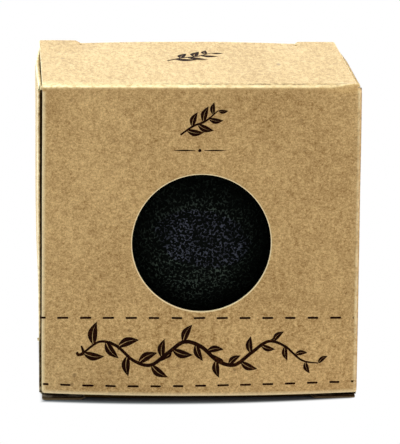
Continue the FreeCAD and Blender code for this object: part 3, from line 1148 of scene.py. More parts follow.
@dataclass
class Sleeve:
    """The four panels and the glue flap, folded from one strip of board."""

    palette: Palette
    foot_trim: float = 0.08
    shoulder_gap: float = 0.15
    right_lift: float = 0.9
    seam_foot: float = -0.22
    seam_head: float = 0.25
    seam_waver: tuple[Flat, ...] = ((0.2, 67.0), (0.03, 39.0), (-0.2, 16.0))
    corner_nick: float = 2.0
    window_shift: float = 0.15
    window_rise: float = 39.53
    window_step: float = 0.55
    bow_height: float = 26.0
    window_diameter: float = 34.9
    window_stretch: Flat = (0.994, 1.022)
    glue_taper: float = 2.7
    overlap: float = 1.0
    fine_step: float = 1.0
    plain_step: float = 1.6
    grid_gap: float = 0.8
    crest_radius: float = 0.25
    crest_back: float = 0.33
    groove_turn: float = math.radians(58)
    groove_length: float = 0.85
    rise_turn: float = math.radians(14)
    rise_radius: float = 0.6

    @property
    def quarter(self) -> float:
        """The length of a fold along the board's outside."""
        return SIZES.side_fold * math.pi / 2

    @property
    def path(self) -> FoldPath:
        """The sleeve from above, from the front panel's raw edge round to the glue flap's.

        At the seam the board folds in sharply behind the raw edge, then comes forward again to
        lie against the front panel. Its stops 0 and 1 bound the right front fold, 2 and 3 the
        right back one, 4 and 5 the left back one, and 6 and 7 the crest at the seam; 8 to 11
        lie in the groove behind that crest, and 12 is the flap's edge.

        Returns:
            The path.
        """
        size = SIZES
        fold = Bend(size.side_fold, math.pi / 2)
        crest = size.front + self.crest_back + self.crest_radius
        left_length = size.back - size.side_fold - crest
        skew = math.atan2(SLACK.left_front, left_length)
        down, up, bend = self.groove_turn, self.rise_turn, self.rise_radius
        arm = self.crest_radius
        along = crest - arm * math.cos(down) + self.groove_length * math.sin(down)
        along -= bend * (math.cos(up) - math.cos(down))
        lift = bend * (1 - math.cos(up))
        rise = max(0.1, (along - lift - size.glue_face) / math.sin(up))
        across = size.left - SLACK.left_front + arm + arm * math.sin(down)
        across += self.groove_length * math.cos(down) + bend * (math.sin(down) + math.sin(up))
        across += rise * math.cos(up) + bend * math.sin(up)
        return FoldPath(
            start=(size.seam_edge, size.front), heading=0.0, outside=-1,
            parts=(
                Run(size.right - size.side_fold - size.seam_edge), fold,
                Run(size.back - size.front - 2 * size.side_fold), fold,
                Run(size.right - size.left - 2 * size.side_fold), Bend(size.side_fold, math.pi / 2 - skew),
                Run(left_length / math.cos(skew)), Bend(arm, math.pi / 2 + skew + down),
                Run(self.groove_length), Bend(bend, -down - up), Run(rise), Bend(bend, up),
                Run(size.glue_end - across),
            ))

    def bow_out(self, across: Points, up: Points) -> Points:
        """How far the front stands out: an arc at the foot that fades above it.

        Args:
            across: places across the front.
            up: their heights.

        Returns:
            How far each stands out.
        """
        size = SIZES
        ends = (size.seam_edge, size.right - size.side_fold)
        chord = ends[1] - ends[0]
        radius = chord * chord / (8 * size.bow) + size.bow / 2
        off = np.clip(across, *ends) - sum(ends) / 2
        rise = np.sqrt(radius * radius - off * off) - radius + size.bow
        return rise * (1 - smooth_step(up, size.foot, size.foot + self.bow_height))

    def surface(self, along: Points, up: Points) -> tuple[Points, Points]:
        """The sleeve's outside.

        Args:
            along: how far along the sleeve each point lies.
            up: the heights of the points.

        Returns:
            The points in space and the normals that point out.
        """
        place, normal = self.path.at(along)
        stops = self.path.stops()
        in_front = (along < stops[0]) | (along > stops[9])
        out = np.where(in_front, self.bow_out(place[:, 0], up), 0.0)
        places = np.stack([place[:, 0], place[:, 1] - out, up], 1)
        return places, np.stack([normal[:, 0], normal[:, 1], np.zeros(len(up))], 1)

    def fold_values(self, stop: float, beside: float = 0.5) -> Points:
        """Close values across a fold.

        Args:
            stop: where the fold starts.
            beside: how much flat board to take in on both sides.

        Returns:
            The values.
        """
        end = stop + self.quarter
        return np.concatenate([spread(stop - beside, stop, 0.25), spread(stop, end, 0.13),
                               spread(end, end + beside, 0.25)])

    def build_front(self) -> Object:
        """The front panel with its window; its head runs into the lid's strip.

        Returns:
            The board.
        """
        size = SIZES
        stop = self.path.stops()[0]
        end = stop + self.quarter + self.overlap
        join = size.top - size.lid_fold - size.strip
        lid_start, lid_stop = size.lid_left - size.seam_edge, size.lid_right - size.seam_edge
        shoulder = size.head - self.shoulder_gap
        foot = size.foot + self.foot_trim
        outline = Outline()
        outline.add_corners([
            Corner(self.seam_foot, foot, 0.75), Corner(stop + self.quarter * 0.55, foot, 0.5),
            Corner(stop + self.quarter + 0.1, foot + self.right_lift, 0.5),
            Corner(end, foot + self.right_lift, raw=False), Corner(end, size.side_head, raw=False),
            Corner(stop + self.quarter * 0.9, shoulder, raw=False),
            Corner(lid_stop, shoulder, raw=False), Corner(lid_stop, join, raw=False),
            Corner(lid_start, join), Corner(lid_start, shoulder), Corner(self.seam_head, shoulder, 0.2),
            *(Corner(*spot) for spot in self.seam_waver),
        ], self.fine_step)
        centre = ((size.right + size.seam_edge) / 2 + self.window_shift - size.seam_edge,
                  size.foot + self.window_rise)
        outline.add_circle(centre, self.window_diameter / 2, self.window_step, self.window_stretch)
        across = join_values(spread(self.fine_step, stop - 0.6, self.fine_step), self.fold_values(stop))
        up = spread(size.foot + self.fine_step, size.head, self.fine_step)
        worn = FoldLine(0, stop - 0.05, 0.32, share=0.88)
        # Painted shade: a dark line on the turn of the right front fold.
        turned = FoldLine(0, stop + self.quarter * 0.9, self.quarter * 0.45, dark=True, share=0.62)
        return Board("front_panel_board", outline, self.surface, across, up, folds=(worn, turned),
                     clear=0.2, rim_scale=0.5, edge_drop=0.025).build()

    def build_side(self, side: Side) -> Object:
        """A side panel between the joins with its neighbours and its dust flaps.

        Args:
            side: which side.

        Returns:
            The board.
        """
        size = SIZES
        stops = self.path.stops()
        if side is Side.RIGHT:
            start, end = stops[0] + self.quarter + self.overlap, stops[2]
            start_place = size.front + size.side_fold + self.overlap
            way = 1
        else:
            start, end = stops[5], stops[6]
            start_place = size.back - size.side_fold
            way = -1
        foot_crease, head_crease = size.side_foot + size.strip, size.side_head - size.strip
        turned = (size.front + size.back) - size.dust_front, (size.front + size.back) - size.dust_back

        def along(place: float) -> float:
            """A place front to back as a length along the sleeve."""
            return start + (place - start_place) * way

        low_ends = sorted(along(p) for p in turned)
        high_ends = sorted(along(p) for p in (size.dust_front, size.dust_back))
        least = 0.05
        for ends in (low_ends, high_ends):
            ends[0], ends[1] = max(ends[0], start + least), min(ends[1], end - least)
        nick = self.corner_nick if side is Side.LEFT else 0.0
        low_ends[1] -= nick
        outline = Outline()
        outline.add_corners([
            Corner(start, size.side_foot), Corner(low_ends[0], size.side_foot),
            Corner(low_ends[0], foot_crease, raw=False), Corner(low_ends[1], foot_crease),
            Corner(low_ends[1], size.side_foot), Corner(end, size.side_foot + nick, raw=False),
            Corner(end, size.side_head), Corner(high_ends[1], size.side_head),
            Corner(high_ends[1], head_crease, raw=False), Corner(high_ends[0], head_crease),
            Corner(high_ends[0], size.side_head), Corner(start, size.side_head, raw=False),
        ], self.plain_step)
        across = spread(start + self.grid_gap, end - self.grid_gap, self.plain_step)
        up = spread(size.side_foot + self.grid_gap, size.side_head - self.grid_gap, self.plain_step)
        folds = (FoldLine(0, stops[6], 0.9),) if side is Side.LEFT else ()
        return Board(f"{side.name.lower()}_panel_board", outline, self.surface, across, up, folds).build()

    def build_back(self) -> Object:
        """The back panel with both of its folds; its foot runs into the bottom lid's strip.

        Returns:
            The board.
        """
        size = SIZES
        stops = self.path.stops()
        start, end = stops[2], stops[5]
        join = size.lid_fold + size.strip
        lid_ends = [stops[3] + (size.right - size.side_fold) - x for x in (size.lid_right, size.lid_left)]
        lid_ends = [max(lid_ends[0], start + 0.1), min(lid_ends[1], end - 0.1)]
        low = size.top - size.head + self.shoulder_gap
        outline = Outline()
        outline.add_corners([
            Corner(start, size.side_foot), Corner(stops[2] + self.quarter * 0.3, low),
            Corner(lid_ends[0], low), Corner(lid_ends[0], join, raw=False),
            Corner(lid_ends[1], join), Corner(lid_ends[1], low),
            Corner(stops[5] - self.quarter * 0.3, low), Corner(end, size.side_foot, raw=False),
            Corner(end, size.side_head), Corner(stops[5] - self.quarter * 0.6, size.back_head, 0.5),
            Corner(stops[2] + self.quarter * 0.6, size.back_head, 0.5),
            Corner(start, size.side_head, raw=False),
        ], self.plain_step)
        across = join_values(self.fold_values(stops[2]), self.fold_values(stops[4]),
                             spread(stops[3] + 1.0, stops[4] - 1.0, self.plain_step))
        up = spread(join + 0.3, size.back_head - self.grid_gap, self.plain_step)
        folds = tuple(FoldLine(0, stop + self.quarter / 2, 0.5) for stop in (stops[2], stops[4]))
        return Board("back_panel_board", outline, self.surface, across, up, folds, clear=0.2).build()

    def build_glue_flap(self) -> Object:
        """The fold at the front left corner and the flap that is glued behind the front.

        Returns:
            The board.
        """
        size = SIZES
        stops = self.path.stops()
        start, fold_end, hidden, end = stops[6], stops[7], stops[8], stops[12]
        head_end = size.head - (size.glue_foot - size.foot)
        foot = size.side_foot + self.corner_nick
        behind = hidden + 0.6
        outline = Outline()
        outline.add_corners([
            Corner(start, foot), Corner(hidden, foot),
            Corner(behind, size.glue_foot), Corner(end, size.glue_foot + self.glue_taper, 1.0),
            Corner(end, head_end - self.glue_taper, 1.0), Corner(behind, head_end),
            Corner(hidden, size.side_head - 0.3), Corner(start, size.side_head, raw=False),
        ], self.plain_step)
        across = join_values(spread(start, hidden + 2.2, 0.14),
                             spread(hidden + 3.2, end - self.grid_gap, self.plain_step))
        up = spread(size.side_foot + 1.0, size.side_head - 1.0, self.plain_step)
        crest = FoldLine(0, (start + fold_end) / 2, 0.45)
        # The two dark lines are painted shade: in the groove behind the crest, and over the crest near the
        # foot.
        folds = (FoldLine(0, start, 0.6),
                 FoldLine(0, (fold_end + hidden) / 2 + 0.2, 0.6, dark=True,
                          begins=size.side_head, full=size.side_head - 0.6),
                 FoldLine(0, start + 0.42, 0.5, dark=True, begins=24.0, full=12.0, share=0.9))
        return Board("glue_flap_board", outline, self.surface, across, up, folds,
                     clear=0.12, pinch=crest).build()

    def build(self) -> None:
        """Builds and dresses the sleeve."""
        pieces = {
            "front_panel": self.build_front(),
            "right_panel": self.build_side(Side.RIGHT),
            "back_panel": self.build_back(),
            "left_panel": self.build_side(Side.LEFT),
            "glue_flap": self.build_glue_flap(),
        }
        for node, piece in pieces.items():
            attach(piece, "carton")
            self.palette.dress_board(piece, node)


# The closures at both ends


@dataclass
class Closure:
    """One end of the carton: a lid with two ears, its tuck flap and two dust flaps.

    Both ends are drawn as the top one; the bottom is the top turned half over. Pairs of numbers
    are for the left and the right ear or tab, or say where a rise starts and ends.
    """

    palette: Palette
    end: End
    ear: float = 10.0
    slit: float = 0.4
    ear_corner: float = 0.7
    tuck_corner: float = 6.0
    tuck_taper: float = 2.0
    tuck_start: float = 2.2
    dust_corner: float = 3.0
    dust_shoulder: float = 6.5
    dust_recess: float = 5.3
    dust_slant_share: float = 0.52
    ear_inset: Flat = (0.9, 0.6)
    ear_rise: Flat = (0.22, 0.02)
    ear_ramp: float = 1.2
    sag_back: Flat = (13.0, 1.0)
    fold_crown: float = 0.2
    fold_sag: float = 0.5
    corner_radius: float = 0.22
    shoulder_drop: float = 0.40
    shoulder_slope: float = math.radians(10.0)
    shoulder_radius: float = 6.0
    crest_radius: float = 0.4
    dip_turn: float = math.radians(35.0)
    dip_length: float = 0.9
    dip_radius: float = 0.6
    corner_tabs: Flat = (0.55, 0.45)
    foot_widen: float = 0.6
    ear_slope: float = 0.9
    corner_rise: float = 0.75
    corner_across: Flat = (7.0, 0.5)
    groove_depth: float = 0.06
    groove_back: float = 2.1
    groove_width: float = 0.55
    groove_wander: float = 0.35
    groove_ramp: Flat = (-14.0, 12.0)
    grid_side: float = 0.9
    grid_gap: float = 0.8
    step: float = 1.3

    def turn(self, places: Points, normals: Points) -> tuple[Points, Points]:
        """Turns places half over for the bottom end.

        Args:
            places: points of the top end.
            normals: their normals.

        Returns:
            The points and normals at this end.
        """
        if self.end is End.TOP:
            return places, normals
        turned = places.copy()
        turned[:, 1] = 2 * SIZES.middle_along - places[:, 1]
        turned[:, 2] = SIZES.top - places[:, 2]
        return turned, normals * np.array([1.0, -1.0, -1.0])

    def spot(self, along: float, up: float, across: float = 0.0) -> Place:
        """A point of this end, in metres."""
        places, _ = self.turn(np.array([[across, along, up]]), np.zeros((1, 3)))
        return tuple(float(v) * MM for v in places[0])

    def lid_lift(self, across: Points, along: Points) -> Points:
        """The ears stand a little proud, and the tuck fold sags towards its ends.

        Args:
            across: places across the lid.
            along: places front to back.

        Returns:
            How far each is lifted.
        """
        size = SIZES
        near_back = smooth_step(along, *(size.lid_end - gap for gap in self.sag_back))
        half = (size.tuck_right - size.tuck_left) / 2
        off = np.abs(across - (size.tuck_right + size.tuck_left) / 2)
        in_ear = off > half + self.slit / 2
        sag = self.fold_crown - self.fold_sag * np.clip(off / half, 0, 1) ** 2
        ear_rise = np.where(across < 0, *self.ear_rise)
        lift = np.where(in_ear, ear_rise * smooth_step(off, half, half + self.ear_ramp), sag)
        if self.end is End.BOTTOM:
            lift = np.minimum(lift, 0.0)
        return lift * near_back

    def groove(self, across: Points, along: Points) -> Points:
        """The pressed line behind the lid's fold, deeper to the right and a little uneven.

        Args:
            across: places across the lid.
            along: places front to back.

        Returns:
            How deep the line is at each.
        """
        wander, uneven = (np.array([noise.noise(Vector((x / length, row, 0.0))) for x in across])
                          for length, row in ((3.0, 7.0), (1.6, 31.0)))
        place = SIZES.front + self.groove_back + self.groove_wander * wander
        deeper = smooth_step(across, *self.groove_ramp) * (0.75 + uneven)
        return self.groove_depth * deeper * np.exp(-((along - place) / self.groove_width) ** 2)

    def lid_path(self) -> FoldPath:
        """The lid from the side, from the strip on the front panel to its free edge.

        Returns:
            The path.
        """
        size = SIZES
        corner, slope = self.corner_radius, self.shoulder_slope
        start = size.top - size.lid_fold - size.strip
        bent = size.top - self.shoulder_drop - corner * math.cos(slope)
        rise = self.shoulder_drop / math.sin(slope) - self.shoulder_radius * math.tan(slope / 2)
        return FoldPath(
            start=(size.front, start), heading=math.pi / 2, outside=1,
            parts=(Run(bent - start), Bend(corner, slope - math.pi / 2), Run(rise),
                   Bend(self.shoulder_radius, -slope), Run(size.back - size.front)))

    def face(self, across: Points, place: Points, normal: Points, lift: Points) -> tuple[Points, Points]:
        """Puts a path seen from the side in space, lifted, at this end."""
        places = np.stack([across, place[:, 0], place[:, 1] + lift], 1)
        return self.turn(places, np.stack([np.zeros(len(across)), normal[:, 0], normal[:, 1]], 1))

    def lid_surface(self, across: Points, along: Points) -> tuple[Points, Points]:
        """The lid's outside.

        Args:
            across: places across the lid.
            along: how far along the lid's path they lie.

        Returns:
            The points in space and the normals that point out.
        """
        place, normal = self.lid_path().at(along)
        stops = self.lid_path().stops()
        lift = self.lid_lift(across, place[:, 0]) - self.groove(across, place[:, 0])
        lift = np.where(along > stops[0], lift, 0.0)
        if self.end is End.TOP:
            at_corner = smooth_step(across, *(SIZES.lid_right - gap for gap in self.corner_across))
            at_fold = smooth_step(along, 0.0, stops[0]) * (1 - smooth_step(along, stops[1], stops[3] + 1.0))
            lift += self.corner_rise * at_corner * at_fold
        return self.face(across, place, normal, lift)

    def lid_along(self, place: float) -> float:
        """A place front to back on the lid as a length along its path.

        Args:
            place: the place.

        Returns:
            The length.
        """
        flat_start = self.lid_path().stops()[3]
        spot, _ = self.lid_path().at(np.array([flat_start]))
        return flat_start + place - float(spot[0, 0])

    def build_lid(self) -> Object:
        """The lid with its fold.

        Returns:
            The board.
        """
        size = SIZES
        left, right = size.lid_left, size.lid_right
        stops = self.lid_path().stops()
        ear_end = self.lid_along(size.back)
        join = self.lid_along(size.tuck_back - self.tuck_start)
        ear_left, ear_right = left + self.ear + self.ear_inset[0], right - self.ear - self.ear_inset[1]
        widen = self.foot_widen if self.end is End.BOTTOM else 0.0
        tab_left, tab_right = left - self.corner_tabs[0], right + self.corner_tabs[1]
        outline = Outline()
        outline.add_corners([
            Corner(tab_left, stops[0] - 0.45), Corner(left, stops[0] - 0.45),
            Corner(left, 0.0, raw=False), Corner(right, 0.0),
            Corner(right, stops[0] - 0.35), Corner(tab_right, stops[0] - 0.35),
            Corner(tab_right, stops[1] + 0.3), Corner(right, stops[1] + 0.8),
            Corner(right + widen, ear_end, self.ear_corner), Corner(ear_right + 0.9, ear_end, 0.3),
            Corner(ear_right, ear_end - self.ear_slope), Corner(ear_right, join, raw=False),
            Corner(ear_left, join), Corner(ear_left, ear_end - self.ear_slope),
            Corner(ear_left - 1.2, ear_end, 0.3),
            Corner(left, ear_end, self.ear_corner), Corner(left, stops[1] + 1.0),
            Corner(tab_left, stops[1] + 0.35),
        ], self.step)
        across = spread(left + self.grid_side, right - self.grid_side, self.step)
        up = join_values(
            spread(0.25, stops[0], 0.3), spread(stops[0], stops[1], 0.09),
            spread(stops[1], stops[1] + 3.4, 0.16),
            spread(stops[1] + 3.8, ear_end - self.grid_gap, self.step))
        groove = self.lid_along(size.front + self.groove_back)
        folds = [FoldLine(1, stops[1], 0.3, begins=80.0, full=-40.0, width_after=2.2)]
        # Painted shade: at the top, the pressed groove behind the fold; at the bottom, the ears' front
        # ends.
        if self.end is End.TOP:
            folds.append(FoldLine(1, groove, 0.8, dark=True, begins=-34.0, full=4.0, share=0.43))
        else:
            folds.append(FoldLine(1, ear_end, 2.2, dark=True, share=0.9))
        return Board(f"{self.end.value}_lid_board", outline, self.lid_surface, across, up,
                     folds=tuple(folds), clear=0.1, sides=False, rim_scale=4.0, calm=0.35).build()

    def tuck_path(self) -> FoldPath:
        """The tuck flap from the side, from its strip on the lid to its free end.

        Returns:
            The path.
        """
        size = SIZES
        bend = math.pi / 2 + size.lean
        start = size.tuck_back - self.tuck_start
        reach = self.tuck_start - size.tuck_fold
        length = (size.top - size.tuck_foot - size.tuck_fold) / math.cos(size.lean)
        return FoldPath(start=(start, size.top), heading=0.0, outside=1,
                        parts=(Run(reach), Bend(size.tuck_fold, -bend), Run(length)))

    def tuck_surface(self, across: Points, along: Points) -> tuple[Points, Points]:
        """The tuck flap's outside; it follows the sag of the lid's free edge.

        Args:
            across: places across the flap.
            along: how far along the flap's path they lie.

        Returns:
            The points in space and the normals that point out.
        """
        place, normal = self.tuck_path().at(along)
        stops = self.tuck_path().stops()
        back = np.where(along > stops[0], SIZES.tuck_back, place[:, 0])
        return self.face(across, place, normal, self.lid_lift(across, back))

    def build_tuck(self) -> Object:
        """The tuck flap with its fold.

        Returns:
            The board.
        """
        size = SIZES
        stops = self.tuck_path().stops()
        left, right = size.lid_left + self.ear, size.lid_right - self.ear
        slit_start = stops[0] - self.slit
        outline = Outline()
        outline.add_corners([
            Corner(left, 0.0, raw=False), Corner(right, 0.0), Corner(right, slit_start),
            Corner(size.tuck_right, slit_start + 0.5),
            Corner(size.tuck_right - self.tuck_taper, stops[2], self.tuck_corner),
            Corner(size.tuck_left + self.tuck_taper, stops[2], self.tuck_corner),
            Corner(size.tuck_left, slit_start + 0.5), Corner(left, slit_start),
        ], self.step)
        across = spread(left + self.grid_side, right - self.grid_side, self.step)
        up = join_values(spread(0.3, stops[0], 0.35), spread(stops[0], stops[1], 0.14),
                         spread(stops[1] + 0.3, stops[2] - self.grid_gap, self.step))
        # At the bottom, the tuck's fold is darkened as painted shade.
        dark = self.end is End.BOTTOM
        folds = (FoldLine(1, (stops[0] + stops[1]) / 2, 0.6, dark=dark, width_after=1.2),)
        return Board(f"{self.end.value}_tuck_flap_board", outline, self.tuck_surface, across, up,
                     folds, clear=0.12, sides=False, rim_scale=1.6).build()

    def dust_path(self, side: Side) -> FoldPath:
        """A dust flap seen from the front, from its strip on the side panel inwards.

        Behind its fold the flap dips, which leaves a dark gap beside the lid.

        Args:
            side: which side.

        Returns:
            The path.
        """
        size = SIZES
        hand = side.value
        reach = abs(size.left) - abs(size.dust_tip) - self.dip_reach
        return FoldPath(
            start=(size.right * hand, size.side_head - size.strip), heading=math.pi / 2, outside=-hand,
            parts=(Run(size.strip + 0.5 - self.crest_radius),
                   Bend(self.crest_radius, hand * (math.pi / 2 + self.dip_turn)), Run(self.dip_length),
                   Bend(self.dip_radius, -hand * self.dip_turn), Run(reach)))

    @property
    def dip_reach(self) -> float:
        """How far inwards a dust flap's fold and dip reach."""
        bend = self.crest_radius * (1 + math.sin(self.dip_turn))
        return bend + self.dip_length * math.cos(self.dip_turn) + self.dip_radius * math.sin(self.dip_turn)

    def dust_surface(self, side: Side) -> Surface:
        """The outside of a dust flap.

        Args:
            side: which side.

        Returns:
            The surface.
        """
        path = self.dust_path(side)

        def surface(along: Points, reach: Points) -> tuple[Points, Points]:
            """Places at a length front to back and a reach from the strip's start.

            Args:
                along: places front to back.
                reach: how far along the flap's path they lie.

            Returns:
                The points in space and the normals that point out.
            """
            place, normal = path.at(reach)
            places = np.stack([place[:, 0], along, place[:, 1]], 1)
            return self.turn(places, np.stack([normal[:, 0], np.zeros(len(along)), normal[:, 1]], 1))

        return surface

    def build_dust(self, side: Side) -> Object:
        """A dust flap with its fold.

        Args:
            side: which side.

        Returns:
            The board.
        """
        size = SIZES
        stops = self.dust_path(side).stops()
        near, far = size.dust_front, size.dust_back
        base, tip = stops[3] - self.dip_reach, stops[4]
        recess = size.back - self.dust_recess
        shoulder = base + self.dust_shoulder
        slant = near + (tip - base) * self.dust_slant_share
        nick = Sleeve.corner_nick if side is Side.LEFT and self.end is End.BOTTOM else 0.0
        outline = Outline()
        outline.add_corners([
            Corner(near, 0.0, raw=False), Corner(far - nick, 0.0), Corner(far - nick, base),
            Corner(far, shoulder, 0.4),
            Corner(recess, shoulder + far - recess, 0.6), Corner(recess, tip, self.dust_corner),
            Corner(slant, tip, self.dust_corner), Corner(near, base),
        ], self.step)
        across = spread(near + self.grid_side, far - self.grid_side, self.step)
        up = join_values(spread(0.25, stops[0], 0.3), spread(stops[0], stops[3], 0.14),
                         spread(stops[3] + 0.4, tip - self.grid_gap, self.step))
        # Painted shade: the top right flap's fold, the dip beside the lid, and at the bottom the flaps'
        # front edges.
        dark = side is Side.RIGHT and self.end is End.TOP
        folds = [FoldLine(1, stops[0] + 0.2, 0.5, dark=dark, share=0.6 if dark else 1.0),
                 FoldLine(1, stops[2], 0.6, dark=True)]
        if self.end is End.BOTTOM:
            folds.append(FoldLine(0, far, 1.6, dark=True))
        return Board(f"{self.end.value}_dust_flap_{side.name.lower()}_board", outline,
                     self.dust_surface(side), across, up, tuple(folds), clear=0.12).build()

    def build(self) -> None:
        """Builds and dresses the four pieces of this end."""
        size = SIZES
        end = self.end.value
        lid, tuck = self.build_lid(), self.build_tuck()
        fold = size.lid_fold
        self.spot(size.front, size.top - fold - 0.2)
        self.spot(size.front + fold + 0.2, size.top)
        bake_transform(lid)
        self.spot(size.tuck_back - 0.8, size.top)
        self.spot(size.tuck_back, size.top - 0.8)
        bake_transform(tuck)
        made = {f"{end}_lid": lid, f"{end}_tuck_flap": tuck}
        for side in Side:
            node = f"{end}_dust_flap_{side.name.lower()}"
            dust = self.build_dust(side)
            level = size.side_head + 0.5
            self.spot(0.0, level - 0.8, size.right * side.value)
            self.spot(0.0, level, (size.right - 0.8) * side.value)
            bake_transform(dust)
            made[node] = dust
        for node, piece in made.items():
            self.palette.dress_board(piece, node)


# The print


@dataclass(frozen=True)
class Sheet:
    """A face that print lies on, drawn flat with X across and Y up it."""

    surface: Surface

    def lay(self, piece: Object) -> None:
        """Lays a flat drawing on the face.

        Args:
            piece: the drawing; its Z is the height of the ink.
        """
        mesh = piece.data
        flat = np.zeros(len(mesh.vertices) * 3)
        mesh.vertices.foreach_get("co", flat)
        flat = flat.reshape(-1, 3)
        places, normals = self.surface(flat[:, 0], flat[:, 1])
        places = places + normals * paper_wave(places)[:, None]
        places = SLACK.apply(places, sides=False) + normals * flat[:, 2:3]
        mesh.vertices.foreach_set("co", (places * MM).ravel())
        turn_out(mesh)
        mesh.update()


@dataclass(frozen=True)
class Stroke:
    """A brush stroke through a few points, with its width at its start, middle and end."""

    points: tuple[Flat, ...]
    widths: tuple[float, float, float]
    pieces: int = 40

    def line(self) -> Points:
        """A smooth line through the points.

        Returns:
            Close points along the line.
        """
        spots = np.array(self.points, float)
        padded = np.concatenate([[2 * spots[0] - spots[1]], spots, [2 * spots[-1] - spots[-2]]])
        spans = len(spots) - 1
        result = []
        for share in np.linspace(0, spans, self.pieces + 1):
            index = min(int(share), spans - 1)
            t = share - index
            a, b, c, d = padded[index:index + 4]
            result.append(0.5 * (2 * b + (c - a) * t + (2 * a - 5 * b + 4 * c - d) * t * t
                                 + (3 * b - a - 3 * c + d) * t ** 3))
        return np.array(result)

    def width_at(self, share: Points) -> Points:
        """The stroke's width.

        Args:
            share: shares of the stroke's length.

        Returns:
            The width at each.
        """
        start, middle, end = self.widths
        rise = np.sin(math.pi * share)
        return start * (1 - share) * (1 - rise) + end * share * (1 - rise) + middle * rise


@dataclass(frozen=True)
class DashRow:
    """A row of dashes across the front: its height, its ends, its rise from dash to dash, its sway."""

    name: str
    up: float
    start: float
    end: float
    rise: float
    half_shift: float
    sway: float = 0.0


